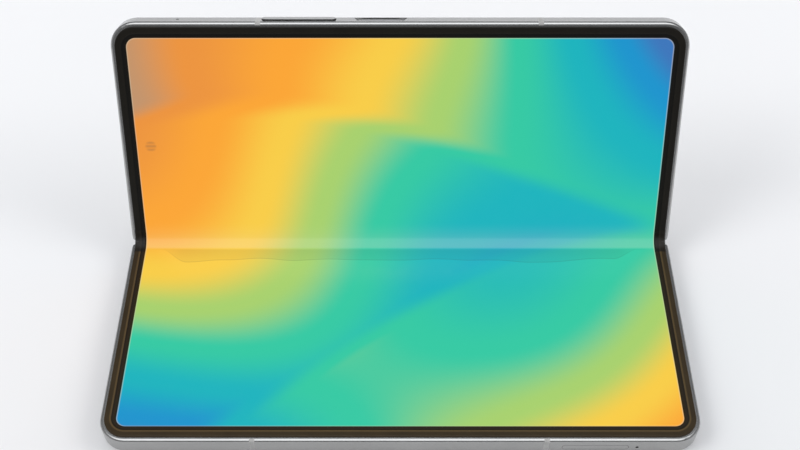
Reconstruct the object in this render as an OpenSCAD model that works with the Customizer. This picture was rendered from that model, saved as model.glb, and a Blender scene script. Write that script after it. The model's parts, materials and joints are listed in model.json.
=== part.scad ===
// A pocket phone with a folding display, half open and standing on its front half.
// Drawn in millimetres with +Z up and +X along the hinge. The origin is the middle of the
// flat underside of the half that lies down.
//
// Each half is drawn in its own frame: x along the hinge, y = distance from the hinge
// centreline, z = height over the display surface, so z = 0 is the display and the back is
// negative. place_base(), place_spine() and place_lid() carry that frame to its rest place.

/* [Overall] */
// Length of the phone along its hinge
phone_l = 154.9; // [146:0.1:164]
// Width of one half, from the hinge centreline to its outer edge
half_w = 64.95; // [61:0.05:72]
// Thickness of one half, from its back glass to the display surface
half_t = 6.1; // [6.1:0.1:7]
// Angle between the two display halves at rest
opening_angle = 116; // [60:1:170]
// Plan radius of the outer corners
corner_r = 7; // [5:0.5:9]

/* [Hinge] */
// Gap between the two display surfaces when the phone is shut
shut_gap = 1.2; // [1.1:0.05:1.3]
// Depth of the pivot shafts under the display surface
pivot_depth = 1.225; // [1.2:0.005:1.25]
// Depth of the hinge spine under the display surface
spine_depth = 5.2; // [5.1:0.05:5.2]
// Wall of the hinge spine
spine_wall = 0.55; // [0.4:0.05:0.6]
// Running clearance between the spine and the bay it turns in
spine_gap = 0.2; // [0.15:0.05:0.3]
// Height of the spine's side walls over its floor
spine_side_h = 3.0; // [2.4:0.1:3.1]
// Distance of each half's hinge edge from the centreline
hinge_edge = 0.1; // [0.08:0.01:0.2]
// Distance of each gear module's middle from the phone's end
module_in = 30.45; // [24:0.05:38]
// Radius of the pivot shafts
shaft_r = 0.4; // [0.3:0.05:0.45]
// Radial running clearance of shafts and pins
bore_gap = 0.05; // [0.03:0.01:0.08]
// Thickness of each bearing plate
bearing_t = 1.2; // [0.8:0.1:1.6]
// Axial play between neighbouring parts on a shaft
axial_play = 0.15; // [0.1:0.05:0.2]
// Width of each hinge arm along its shaft
arm_t = 2; // [1.5:0.1:2.5]
// Length of the arm's pad on the mid-plate
pad_l = 5.3; // [4.5:0.1:6]
// Length of the friction spring stack outside each arm
spring_l = 2.6; // [2:0.1:3.4]
// Thickness of the nut that holds each spring stack
nut_t = 0.8; // [0.5:0.1:1]

/* [Synchronising gears] */
// Tooth module of the gears
tooth_module = 0.2; // [0.19:0.005:0.2]
// Face width of the gears
gear_t = 3; // [2:0.5:4]
// Pressure angle of the teeth
pressure_angle = 25; // [22:1:27]
// Height of a tooth over the pitch circle, in modules
addendum = 0.8; // [0.7:0.05:0.9]
// Depth of a tooth under the pitch circle, in modules
dedendum = 1.1; // [1.05:0.05:1.15]
// Thinning of each tooth for play
tooth_play = 0.03; // [0.02:0.01:0.04]
// Radius of the idler pins
idler_pin_r = 0.35; // [0.3:0.05:0.4]

/* [Frame] */
// Thickness of the outer rails
rail_t = 2.2; // [2:0.1:2.6]
// Edge radius of the rails at the display side
rail_top_r = 0.75; // [0.5:0.05:0.75]
// Edge radius of the rails at the back
rail_back_r = 1.2; // [0.8:0.1:1.4]
// How far the back glass stands proud of the rails
glass_proud = 0.1; // [0.05:0.05:0.2]
// Thickness of the mid-plate under the display
mid_plate_t = 0.7; // [0.5:0.1:0.9]
// Length over which the short rails curve in towards the hinge
rail_end_l = 3.6; // [3:0.1:4]
// How far the short rails curve in at the hinge
rail_end_d = 0.75; // [0.5:0.05:0.8]
// Thickness of the rail's outer skin beside the hinge cap
end_skin = 1; // [0.9:0.05:1.1]
// Radius of the hinge cap's two discs
cap_r = 2.6; // [2.3:0.1:2.6]
// Width of the plastic antenna bands
band_w = 1.4; // [1:0.1:2]
// Depth of the antenna bands into the rail
band_d = 0.8; // [0.5:0.1:1]

/* [Display] */
// Thickness of the folding display panel
panel_t = 0.45; // [0.3:0.05:0.45]
// Thickness of the steel plate behind each flat part of the panel
backing_t = 0.2; // [0.15:0.05:0.2]
// Width of the visible black border, from the phone's edge to the picture
border_w = 4.2; // [3.6:0.1:4.6]
// Width of the bright rail edge that shows around the border
rim_w = 1.15; // [0.9:0.05:1.25]
// Height of the border over the display surface
bezel_h = 0.5; // [0.3:0.05:0.5]
// Distance from the centreline at which the border of each half ends
bezel_end = 4.3; // [4.3:0.05:4.8]
// Distance from the centreline to where the flat panel begins
flat_start = 3.645; // [3.4:0.005:4]

/* [Backs] */
// Thickness of the back glass
glass_t = 0.65; // [0.5:0.05:0.7]
// Distance of the back glass from the outer edge
glass_inset = 1.2; // [1.2:0.1:1.6]
// Distance of the back glass from the hinge centreline
glass_start = 3.4; // [3.4:0.1:4]
// Seam around the back glass
seam = 0.05; // [0.03:0.01:0.1]
// Thickness of the cover display behind the base glass
cover_panel_t = 1.15; // [0.8:0.05:1.3]

/* [Camera island] */
// Length of the island along the hinge direction
island_l = 39; // [37:0.5:44]
// Width of the island
island_w = 14.6; // [13.6:0.2:16]
// Height of the island over the back glass
island_h = 1.2; // [0.8:0.1:1.6]
// Distance of the island's middle from the phone's end
island_in = 25.45; // [24:0.05:28]
// Distance of the island's middle from the outer edge
island_edge = 12; // [11:0.5:14]
// Spacing of the three lenses
lens_pitch = 12.2; // [12:0.1:12.6]
// Outer radius of each lens ring
ring_r = 5.6; // [5.2:0.1:5.8]
// Radius of each lens window
lens_r = 4.3; // [3.8:0.1:4.5]
// How far each ring stands over the island
ring_h = 0.45; // [0.3:0.05:0.6]
// Side of each square camera module behind its lens
camera_w = 10; // [9:0.5:11]
// Radius of the flash window
flash_r = 1.9; // [1.5:0.1:2.2]
// Gap between the island and the flash window
flash_gap = 2.1; // [1.5:0.1:3]

/* [Small cameras] */
// Distance of the camera under the display from the phone's end
inner_camera_in = 8.15; // [7:0.05:9]
// Distance of the camera under the display from the hinge centreline
inner_camera_y = 30; // [28:0.5:34]
// Radius of the camera under the display
inner_camera_r = 1.6; // [1.2:0.1:1.8]
// Distance of the cover camera from the phone's end
cover_camera_in = 19.45; // [15:0.05:20]
// Distance of the cover camera from the hinge centreline
cover_camera_y = 9.8; // [9.5:0.1:10.5]
// Radius of the cover camera's lens
cover_camera_r = 1.7; // [1.4:0.1:1.8]

/* [Keys] */
// Length of the volume rocker
volume_l = 19.8; // [16:0.2:22]
// Distance of the volume rocker's middle from the phone's end
volume_in = 50.45; // [50:0.05:52]
// Length of the side key
side_l = 11.6; // [10:0.2:12.4]
// Distance of the side key's middle from the phone's end
side_key_in = 72.25; // [72:0.05:74]
// Height of both keys across the rail
key_h = 2.2; // [1.8:0.1:2.4]
// How far the volume rocker stands out of the rail
key_proud = 0.35; // [0.3:0.05:0.5]
// Clearance around the keys
key_gap = 0.12; // [0.1:0.01:0.15]
// Depth of the finger scoop around the side key
scoop_d = 0.4; // [0.3:0.05:0.5]
// Height of the middle of every rail opening, under the display surface
rail_mid = 3.1; // [3:0.05:3.3]

/* [Card tray] */
// Length of the tray's visible face
tray_face_l = 17; // [16:0.5:20]
// Height of the tray's face
tray_face_h = 1.9; // [1.7:0.1:2]
// Depth of the tray from the outer edge
tray_d = 20; // [18:0.5:22]
// Distance of the tray's middle from the phone's other end
tray_in = 27.45; // [24:0.05:29]
// Clearance around the tray
tray_gap = 0.08; // [0.06:0.01:0.12]
// Thickness of the tray's thin part
tray_body_t = 0.9; // [0.8:0.05:1.2]
// How much shorter than its face the tray's thin part is
tray_step = 2; // [1.5:0.1:3]
// Wall of the card reader around the tray
reader_wall = 0.3; // [0.2:0.05:0.4]

/* [Ports] */
// Width of the charging port's opening
port_w = 8.34; // [8.3:0.01:8.4]
// Height of the charging port's opening
port_h = 2.56; // [2.5:0.01:2.6]
// Depth of the charging port
port_d = 7; // [6.5:0.1:8]
// Distance of the charging port's middle from the hinge centreline
port_y = 31; // [28:0.5:33]
// Wall of the charging port's shell
port_wall = 0.3; // [0.2:0.05:0.3]
// Number of holes in a loudspeaker row
speaker_holes = 6; // [4:1:8]
// Radius of a loudspeaker hole
speaker_hole_r = 0.55; // [0.4:0.05:0.6]
// Spacing of the loudspeaker holes
speaker_pitch = 2.1; // [1.8:0.1:2.4]
// Distance of the first loudspeaker hole from the hinge centreline
speaker_y = 41; // [40:0.5:43]
// Radius of the microphone and tray pin holes
pinhole_r = 0.4; // [0.3:0.05:0.5]
// Distance of the microphone hole in the lid from the phone's end
mic_in = 18; // [16:0.05:22]
// Length of the earpiece slot
earpiece_l = 10; // [8:0.5:14]
// Width of the earpiece slot
earpiece_w = 0.8; // [0.6:0.1:1]
// Distance of the earpiece slot from the short edge of the cover glass
earpiece_in = 1.2; // [1:0.1:1.6]

/* [Inner parts] */
// Clearance between neighbouring inner parts
part_gap = 1; // [0.5:0.1:1.2]
// Length of the battery in the base half
base_battery_l = 68; // [50:1:68]
// Length of the battery in the lid half
lid_battery_l = 84; // [60:1:84]
// Length of the main board
main_board_l = 38; // [36:1:40]
// Length of the small board
sub_board_l = 33; // [25:1:33]
// Thickness of the boards
board_t = 0.9; // [0.7:0.05:1]
// Height of the shield cans over the board
can_h = 1.4; // [1:0.1:1.6]
// Outer radius of the charging coil
coil_r = 20; // [15:0.5:20.5]
// Thickness of the charging coil
coil_t = 0.4; // [0.3:0.05:0.45]
// Length of the vibration motor
motor_l = 17; // [12:0.5:18]
// Width of the vibration motor
motor_w = 8; // [6:0.5:9]
// Depth of the loudspeaker boxes from the short rails
speaker_d = 9; // [8:0.5:11]
// Width of the loudspeaker boxes
speaker_w = 16; // [15:0.5:17]

/* [Hidden] */
$fn = 72;

// Hinge geometry. Each half turns about its own shaft at (axis_y, axis_z).
tilt = (180 - opening_angle) / 2;
axis_z = -pivot_depth;
axis_y = shut_gap / 2 + pivot_depth;
spine_r = spine_depth + axis_z;
bay_r = spine_r + spine_gap;
frame_back = -half_t + glass_proud;
spine_floor = -spine_depth + spine_wall;
spine_top = -spine_depth + spine_side_h;
skirt_edge_r = 0.3;
pocket_gap = 0.1;

// Levels inside a half.
plate_z = -panel_t;
mid_top = plate_z - backing_t;
mid_back = mid_top - mid_plate_t;
glass_top = -half_t + glass_t;
panel_inset = rail_t - 0.2;
pocket_inset = panel_inset - pocket_gap;
side = phone_l / 2;
rail_in = half_w - rail_t;
side_in = side - rail_t;
bay_half = side_in + 0.2;
rest_y = (glass_start + half_w - glass_inset) / 2;

// Gears: the main gears turn with the halves, the idlers couple them across the spine.
main_teeth = 13;
idler_teeth = 10;
main_pitch_r = tooth_module * main_teeth / 2;
idler_pitch_r = tooth_module * idler_teeth / 2;
idler_z = axis_z - sqrt(pow(main_pitch_r + idler_pitch_r, 2) - pow(axis_y - idler_pitch_r, 2));
mesh_dir = atan2(axis_z - idler_z, axis_y - idler_pitch_r);
hub_r = 0.65;
plate_half = 3.1;
spring_r = 0.65;
flash_t = 0.25;
spring_bore = shaft_r + 0.02;
// Flat top of everything that turns under the folding zone.
under_fold = plate_z - 0.1;
// Half side of a square that is larger than the hinge section.
reach = 10;
// Angles, in a half's own frame, between which the main gear has teeth.
sector_from = -204;
sector_to = -97;
module_x = side - module_in;

// Stations along a gear module's shaft, from its middle.
plate_in = gear_t / 2 + axial_play;
plate_out = plate_in + bearing_t;
arm_in = plate_out + axial_play;
arm_out = arm_in + arm_t;
arm_back = 2;
spring_in = arm_out + 0.1;
nut_in = spring_in + spring_l + 0.1;
shaft_end = nut_in + nut_t;
pad_start = 7.2;
pad_gap = 0.05;
mount_zone = arm_out + 3;
mount_depth = pad_start + pad_l + 1.3;
bay_wall = 6.8;
screw_r = 0.35;
screw_head_r = 0.75;
screw_head_t = 0.3;
screw_l = 2.4;

// The fold of the display at rest: one arc that is tangent to both flat parts.
fold_end_y = axis_y + (flat_start - axis_y) * cos(tilt) + axis_z * sin(tilt);
fold_end_z = axis_z + (flat_start - axis_y) * sin(tilt) - axis_z * cos(tilt);
fold_r = fold_end_y / sin(tilt);
side_cap_gap = 0.1;
cap_clear = 0.1;
cap_top = bezel_h;
panel_half = bay_half - 0.1;
// The supporting plate behind the panel starts where the fold ends.
plate_start = flat_start + 0.05;

// Stations along the long rails, from the middle of the phone.
band_in = [39.65, 40.05];
band_xs = [-side + band_in[0], side - band_in[1]];
island_x = -side + island_in;
island_y = half_w - island_edge;
volume_x = -side + volume_in;
side_x = -side + side_key_in;
tray_x = side - tray_in;
pin_x0 = tray_x + tray_face_l / 2 + 2.2;
speaker_start = speaker_y - 2;
mic_x = -side + mic_in;
inner_camera_x = -side + inner_camera_in;
cover_camera_x = -side + cover_camera_in;
// The keys' flanges stay clear of the rail by more than the rocker tips.
flange_t = 0.25;
flange_y = rail_in - 0.3;
flange_edge = 0.6;
side_key_top = half_w - scoop_d + 0.05;
nub_t = 0.15;
dome_t = 0.3;
dome_gap = 0.3;
dome_y = flange_y - flange_t - nub_t - dome_gap - dome_t;
key_board_t = 0.3;
key_board_y = dome_y - key_board_t;
switch_xs = [volume_x - 0.3 * volume_l, volume_x + 0.3 * volume_l, side_x];

// Inner layout, behind the hinge mounts.
inner_start = mount_depth + part_gap;
battery_z = glass_top + cover_panel_t + 0.1;
tray_start = half_w - tray_d - 2 * reader_wall;
tray_body_l = tray_face_l - tray_step;
sub_board_x = -side_in + part_gap;
base_battery_x = sub_board_x + sub_board_l + part_gap;
motor_x = base_battery_x + base_battery_l + part_gap;
main_board_x = -side_in + part_gap;
main_board_end = island_y - camera_w / 2 - part_gap;
lid_battery_x = part_gap
    + max(main_board_x + main_board_l, island_x + lens_pitch + camera_w / 2);
lid_battery_end = key_board_y - part_gap;
inner_camera_seat = inner_camera_r + 1.2;

// ---------------------------------------------------------------- places

module place_base() {
    translate([0, rest_y, half_t]) children();
}
module turn_at(y) {
    translate([0, y, axis_z]) rotate([tilt, 0, 0]) translate([0, -y, -axis_z]) children();
}
module place_spine() {
    place_base() turn_at(-axis_y) children();
}
module place_lid() {
    place_spine() turn_at(axis_y) children();
}
// The base half is the mirror image of the lid half's frame.
module base_half() {
    place_base() mirror([0, 1, 0]) children();
}
module both_modules() {
    for (x = [-module_x, module_x]) translate([x, 0, 0]) children();
}
// Carries a section drawn in (y, z) along x, from x0 to x1.
module along_x(x0, x1) {
    translate([x0, 0, 0]) rotate([90, 0, 90]) linear_extrude(x1 - x0) children();
}
// Carries a section drawn in (x, z) along y, from y0 to y1.
module along_y(y0, y1) {
    translate([0, y1, 0]) rotate([90, 0, 0]) linear_extrude(y1 - y0) children();
}
// A pin or bore along x at (y, z).
module pin_x(y, z, r, x0, x1) {
    translate([x0, y, z]) rotate([0, 90, 0]) cylinder(h = x1 - x0, r = r);
}
// A plain block between two corners.
module block(from, to) {
    translate(from) cube(to - from);
}
// A plate with full round ends, l long in x and w wide in y.
module stadium(l, w) {
    square([l - w, w], center = true);
    for (x = [-1, 1]) translate([x * (l - w) / 2, 0]) circle(w / 2);
}
// A slot with round ends through a long rail, centred at x.
module rail_slot(x, l, h, y0, y1) {
    translate([x, 0, -rail_mid]) along_y(y0, y1) stadium(l, h);
}

// ---------------------------------------------------------------- half shapes

// Plan outline of a half, drawn in from its outer edge by inset, from y = start.
module outline(inset, start) {
    far = half_w - corner_r;
    translate([-side + inset, start]) square([2 * (side - inset), far - start]);
    translate([-side + corner_r, start]) square([2 * (side - corner_r), half_w - inset - start]);
    if (corner_r > inset)
        for (x = [-1, 1]) translate([x * (side - corner_r), far]) circle(corner_r - inset);
}
// A flat layer of a half, from z0 to z1.
module layer(inset, start, z0, z1) {
    translate([0, 0, z0]) linear_extrude(z1 - z0) outline(inset, start);
}
// Section of a slab's edge: x runs out to width, both outer edges are rounded.
module edge_section(width, z0, z1, top_r, back_r) {
    translate([0, z0 + back_r]) square([width, z1 - z0 - back_r - top_r]);
    if (back_r > 0) {
        translate([0, z0]) square([width - back_r, back_r]);
        translate([width - back_r, z0 + back_r]) mirror([0, 1]) quarter_disc(back_r);
    }
    if (top_r > 0) {
        translate([0, z1 - top_r]) square([width - top_r, top_r]);
        translate([width - top_r, z1 - top_r]) quarter_disc(top_r);
    }
}
module quarter_disc(r) {
    intersection() {
        circle(r);
        square(r);
    }
}
// A slab whose outer edges are rounded all the way round its three free sides.
module slab(inset, start, z0, z1, top_r, back_r) {
    far = half_w - corner_r;
    r = corner_r - inset;
    along_y(start, far) for (m = [0, 1]) mirror([m, 0])
        edge_section(side - inset, z0, z1, top_r, back_r);
    along_x(-side + corner_r, side - corner_r)
        translate([far, 0]) edge_section(r, z0, z1, top_r, back_r);
    for (m = [0, 1]) mirror([m, 0, 0]) translate([side - corner_r, far, 0])
        rotate_extrude(angle = 90) edge_section(r, z0, z1, top_r, back_r);
}
// A quarter turn of the frame's side section about the hinge axis, from angle a.
module quarter_nose(r, edge_r, a) {
    translate([0, axis_y, axis_z]) rotate([90, 0, 90]) rotate([0, 0, a])
        rotate_extrude(angle = 90) for (m = [0, 1]) mirror([0, m])
            rotate([0, 0, 90]) mirror([0, 1]) edge_section(side, 0, r, edge_r, 0);
}
// The hinge end of a half: a small round nose over the axis, and the skirt under it.
module hinge_nose() {
    quarter_nose(-axis_z, rail_top_r, 90);
    intersection() {
        along_y(hinge_edge - 1, axis_y) for (m = [0, 1]) mirror([m, 0])
            edge_section(side, frame_back, axis_z, 0, rail_back_r);
        along_x(-phone_l, phone_l) {
            translate([hinge_edge + skirt_edge_r, frame_back])
                square([axis_y - hinge_edge - skirt_edge_r, axis_z - frame_back]);
            translate([hinge_edge, frame_back + skirt_edge_r])
                square([skirt_edge_r, axis_z - frame_back - 2 * skirt_edge_r]);
            for (z = [frame_back + skirt_edge_r, axis_z - skirt_edge_r])
                translate([hinge_edge + skirt_edge_r, z]) circle(skirt_edge_r);
        }
    }
}
// What is cut away so that the short rails curve in towards the hinge.
module rail_end_cuts() {
    r = (pow(rail_end_l, 2) + pow(rail_end_d, 2)) / (2 * rail_end_d);
    for (m = [0, 1]) mirror([m, 0, 0]) translate([0, 0, frame_back - 1]) difference() {
        translate([side - r, hinge_edge - 1, 0]) cube([r + 1, 1 + rail_end_l, half_t + 2]);
        translate([side - r, hinge_edge + rail_end_l, -1]) cylinder(h = half_t + 4, r = r);
    }
}
// Section of the bay that the spine turns in.
module bay_section() {
    translate([axis_y, axis_z]) circle(bay_r);
    translate([-axis_y, axis_z - bay_r]) square([2 * axis_y, 2 * bay_r]);
}
// Where the hinge brackets are screwed down, the frame stays thick.
module mount_zones(z0, z1) {
    both_modules() block([-mount_zone, 0, z0], [mount_zone, mount_depth, z1]);
}
// The frame of either half: rails, mid-plate and hinge skirt as one machined piece.
module half_frame() {
    difference() {
        union() {
            slab(0, axis_y, frame_back, 0, rail_top_r, rail_back_r);
            hinge_nose();
        }
        along_x(-bay_half, bay_half) bay_section();
        pin_x(axis_y, axis_z, cap_r + cap_clear, -side + end_skin, side - end_skin);
        layer(pocket_inset, -1, mid_top, 1);
        layer(glass_inset, glass_start, frame_back - 1, glass_top);
        difference() {
            layer(rail_t, bay_wall, glass_top - 1, mid_back);
            mount_zones(glass_top - 2, 0);
        }
        both_modules() block([-arm_out - pad_gap, 3, -arm_back - pad_gap],
            [arm_out + pad_gap, pad_start + pad_l + pad_gap, 0]);
        both_modules() bracket_screws(0);
        rail_end_cuts();
    }
}
// The black border around the display, one U-shaped strip with rounded edges.
module bezel_section() {
    w = border_w - rim_w;
    edge = bezel_h * 0.6;
    square([w, bezel_h - edge]);
    translate([edge, 0]) square([w - 2 * edge, bezel_h]);
    translate([edge, bezel_h - edge]) mirror([1, 0]) quarter_disc(edge);
    translate([w - edge, bezel_h - edge]) quarter_disc(edge);
}
module half_bezel() {
    far = half_w - corner_r;
    inner = corner_r - border_w;
    for (m = [0, 1]) mirror([m, 0, 0]) {
        along_y(bezel_end, far) translate([side - border_w, 0]) bezel_section();
        translate([side - corner_r, far, 0]) rotate_extrude(angle = 90)
            translate([inner, 0]) bezel_section();
    }
    along_x(-side + corner_r, side - corner_r) translate([far + inner, 0]) bezel_section();
}
module half_display() {
    intersection() {
        layer(panel_inset + pocket_gap, flat_start, -panel_t, 0);
        block([-panel_half, 0, -panel_t], [panel_half, half_w, 0]);
    }
}
module half_display_plate() {
    layer(panel_inset + pocket_gap, plate_start, mid_top, plate_z);
}
module half_glass() {
    slab(glass_inset + seam, glass_start + seam, -half_t, glass_top, 0, 0.3);
}
// Antenna bands: plastic inlays in the outer skin of the long rail.
module band_shape(x) {
    along_x(x - band_w / 2, x + band_w / 2) intersection() {
        translate([half_w - corner_r, 0])
            edge_section(corner_r, frame_back, 0, rail_top_r, rail_back_r);
        translate([half_w - band_d, frame_back]) square([band_d, -frame_back]);
    }
}
module antenna_bands() {
    for (x = band_xs) band_shape(x);
}
module antenna_cuts() {
    for (x = band_xs) block([x - band_w / 2, half_w - band_d, frame_back - 1],
        [x + band_w / 2, half_w + 1, 1]);
}
// A row of loudspeaker holes through a short rail, from y along the rail.
module speaker_row(y) {
    for (i = [0 : speaker_holes - 1])
        pin_x(y + i * speaker_pitch, -rail_mid, speaker_hole_r, side_in - 1, side + 1);
}

// ---------------------------------------------------------------- hinge parts

module bracket_screws(extra) {
    for (x = [-1, 1]) translate([x * (arm_in + arm_t / 2), pad_start + pad_l / 2, 0]) {
        translate([0, 0, mid_top - screw_l]) cylinder(h = screw_l, r = screw_r);
        if (extra > 0) translate([0, 0, mid_top - screw_head_t])
            cylinder(h = screw_head_t, r = screw_head_r);
    }
}
// One bracket: two arms on the shaft, joined by the pad on the mid-plate.
module hinge_bracket() {
    boss_r = 1.3;
    difference() {
        union() {
            for (x = [-arm_out, arm_in]) along_x(x, x + arm_t) intersection() {
                union() {
                    translate([axis_y, axis_z]) circle(boss_r);
                    translate([axis_y, -arm_back]) square([pad_start - axis_y + 1, arm_back]);
                }
                translate([0, -reach]) square([2 * reach, reach + under_fold]);
            }
            block([-arm_out, pad_start, -arm_back], [arm_out, pad_start + pad_l, mid_top]);
        }
        block([-arm_out - 1, plate_start - pad_gap, mid_top], [arm_out + 1, pad_start + pad_l, 0]);
        pin_x(axis_y, axis_z, shaft_r, -arm_out - 1, arm_out + 1);
        bracket_screws(1);
    }
}

function to_deg(radians) = radians * 180 / PI;
function involute(a) = to_deg(tan(a)) - a;
function polar(r, a) = [r * cos(a), r * sin(a)];
// Half of a tooth's width, as an angle, at radius r of a gear with pitch radius p.
function half_tooth(teeth, p, r) =
    let (base = p * cos(pressure_angle))
    90 / teeth - to_deg(tooth_play / 2 / p) + involute(pressure_angle)
        - (r > base ? involute(acos(base / r)) : 0);
// Points of one tooth that is centred on angle a, from one root to the other.
function tooth(teeth, p, a) =
    let (
        base = p * cos(pressure_angle),
        tip = p + addendum * tooth_module,
        root = p - dedendum * tooth_module,
        radii = [root, max(base, root + 0.01), (2 * base + tip) / 3, (base + 2 * tip) / 3, tip]
    )
    concat(
        [for (i = [0 : 4]) polar(radii[i], a - half_tooth(teeth, p, radii[i]))],
        [for (i = [4 : -1 : 0]) polar(radii[i], a + half_tooth(teeth, p, radii[i]))]
    );
function all_teeth(teeth, p, phase, from, to) = [
    for (k = [ceil((from - phase) * teeth / 360) : floor((to - phase) * teeth / 360)])
        each tooth(teeth, p, phase + k * 360 / teeth)
];
// The tooth angle of a main gear that meshes with an idler, whose direction to it is dir.
function main_phase(dir, idler_phase) =
    dir + 180 - (idler_phase - dir) * idler_teeth / main_teeth + 180 / main_teeth;

// A main gear with teeth on the side that meets its idler, and a shaft through it.
module gear_shaft(half, phase) {
    from = half > 0 ? sector_from + tilt : 180 - sector_to - tilt;
    to = half > 0 ? sector_to + tilt : 180 - sector_from - tilt;
    y = half * axis_y;
    along_x(-gear_t / 2, gear_t / 2) translate([y, axis_z]) {
        polygon(concat([[0, 0]], all_teeth(main_teeth, main_pitch_r, phase, from, to)));
        circle(hub_r);
    }
    pin_x(y, axis_z, shaft_r, -shaft_end, shaft_end);
}
// The friction springs of one shaft: a folded disc spring and its nut outside each arm.
module spring_stack(half) {
    folds = 5;
    step = spring_l / folds / 2;
    wall = 0.12;
    for (m = [0, 1]) mirror([m, 0, 0]) {
        translate([spring_in, half * axis_y, axis_z]) rotate([0, 90, 0]) rotate_extrude()
            polygon(concat(
                [for (i = [0 : 2 * folds]) [i % 2 == 0 ? spring_r - wall : spring_bore, i * step]],
                [for (i = [2 * folds : -1 : 0]) [i % 2 == 0 ? spring_r : spring_bore + wall, i * step]]
            ));
        along_x(nut_in, nut_in + nut_t) translate([half * axis_y, axis_z]) difference() {
            circle(spring_r);
            circle(shaft_r);
        }
    }
}
module idler_gear(half, phase) {
    y = half * idler_pitch_r;
    along_x(-gear_t / 2, gear_t / 2) translate([y, idler_z])
        polygon(all_teeth(idler_teeth, idler_pitch_r, phase, phase, phase + 359));
    pin_x(y, idler_z, idler_pin_r, -plate_out, plate_out);
}
// Section of the spine's trough at radius r about both shafts.
module trough(r) {
    for (y = [-axis_y, axis_y]) translate([y, axis_z]) circle(r);
    translate([-axis_y, axis_z - r]) square([2 * axis_y, 2 * r]);
}

// ---------------------------------------------------------------- nodes: base half

module base_frame() {
    color("lightgray") base_half() difference() {
        half_frame();
        antenna_cuts();
        rail_slot(tray_x, tray_face_l + 2 * tray_gap, tray_face_h + 2 * tray_gap,
            rail_in - 1, half_w + 1);
        rail_pinhole(pin_x0);
        mirror([1, 0, 0]) speaker_row(speaker_y);
    }
}
// A small round hole through the long rail, for a microphone or the tray's pin.
module rail_pinhole(x) {
    translate([x, rail_in - 1, -rail_mid]) rotate([-90, 0, 0])
        cylinder(h = rail_t + 2, r = pinhole_r);
}
module base_bezel() {
    color("black") base_half() half_bezel();
}
module base_display() {
    color("goldenrod") base_half() half_display();
}
module base_display_plate() {
    color("silver") base_half() half_display_plate();
}
module cover_glass() {
    color("dimgray") base_half() difference() {
        half_glass();
        at_earpiece() translate([0, 0, -half_t - 1]) linear_extrude(glass_t + 2)
            stadium(earpiece_l, earpiece_w);
    }
}
module cover_display() {
    color("black") base_half() layer(rail_t + 1, mount_depth + 0.3, glass_top,
        glass_top + cover_panel_t);
}
// The selfie camera behind the cover glass: a lens barrel on its module.
module cover_camera() {
    barrel = 1.6;
    body_w = 4.8;
    color("midnightblue") base_half() translate([cover_camera_x, cover_camera_y, glass_top]) {
        cylinder(h = barrel, r = cover_camera_r);
        translate([-body_w / 2, -body_w / 2, barrel])
            cube([body_w, body_w, mid_back - glass_top - barrel]);
    }
}
// A slot at the end of the cover glass, with a mesh set into it.
module at_earpiece() {
    translate([-side + glass_inset + earpiece_in, rest_y, 0]) rotate([0, 0, 90]) children();
}
module earpiece_mesh() {
    color("dimgray") base_half() at_earpiece() translate([0, 0, glass_top - 0.3])
        linear_extrude(0.3) stadium(earpiece_l - 2 * seam, earpiece_w - 2 * seam);
}
module base_battery() {
    color("dimgray") base_half() block([base_battery_x, inner_start, battery_z],
        [base_battery_x + base_battery_l, tray_start - part_gap, mid_back]);
}
module sub_board() {
    color("darkgreen") base_half() block([sub_board_x, inner_start, mid_back - board_t],
        [sub_board_x + sub_board_l, half_w - corner_r, mid_back]);
}
module haptic_motor() {
    color("silver") base_half() block([motor_x, inner_start, battery_z],
        [motor_x + motor_l, inner_start + motor_w, mid_back]);
}
module top_speaker() {
    color("black") base_half() block([-side_in, speaker_start, battery_z],
        [-side_in + speaker_d, speaker_start + speaker_w, mid_back - board_t]);
}
// The tray: a face in the rail, and behind it a thin part with a well for the card.
module card_tray() {
    well_l = 8.8;
    well_d = 12.3;
    floor_t = 0.2;
    color("lightgray") base_half() {
        rail_slot(tray_x, tray_face_l, tray_face_h, rail_in + 0.6, half_w);
        difference() {
            block([tray_x - tray_body_l / 2, half_w - tray_d, -rail_mid - tray_body_t / 2],
                [tray_x + tray_body_l / 2, rail_in + 1, -rail_mid + tray_body_t / 2]);
            block([tray_x - well_d / 2, half_w - tray_d + 1.2,
                -rail_mid - tray_body_t / 2 + floor_t],
                [tray_x + well_d / 2, half_w - tray_d + 1.2 + well_l, 0]);
        }
    }
}
module tray_reader() {
    x = tray_body_l / 2 + 2 * tray_gap;
    z = tray_body_t / 2 + tray_gap;
    color("silver") base_half() difference() {
        block([tray_x - x - reader_wall, tray_start, -rail_mid - z - reader_wall],
            [tray_x + x + reader_wall, rail_in, mid_back]);
        block([tray_x - x, tray_start + reader_wall, -rail_mid - z],
            [tray_x + x, rail_in + 1, -rail_mid + z]);
    }
}
module base_antenna_bands() {
    color("gainsboro") base_half() antenna_bands();
}
module base_hinge_brackets() {
    color("slategray") base_half() both_modules() hinge_bracket();
}
module base_gear_shafts() {
    color("silver") place_spine() both_modules()
        gear_shaft(-1, main_phase(180 - mesh_dir, 180 / idler_teeth));
}
module base_friction_springs() {
    color("silver") place_spine() both_modules() spring_stack(-1);
}
module base_hinge_screws() {
    color("gray") base_half() both_modules() bracket_screws(1);
}

// ---------------------------------------------------------------- nodes: spine

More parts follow.
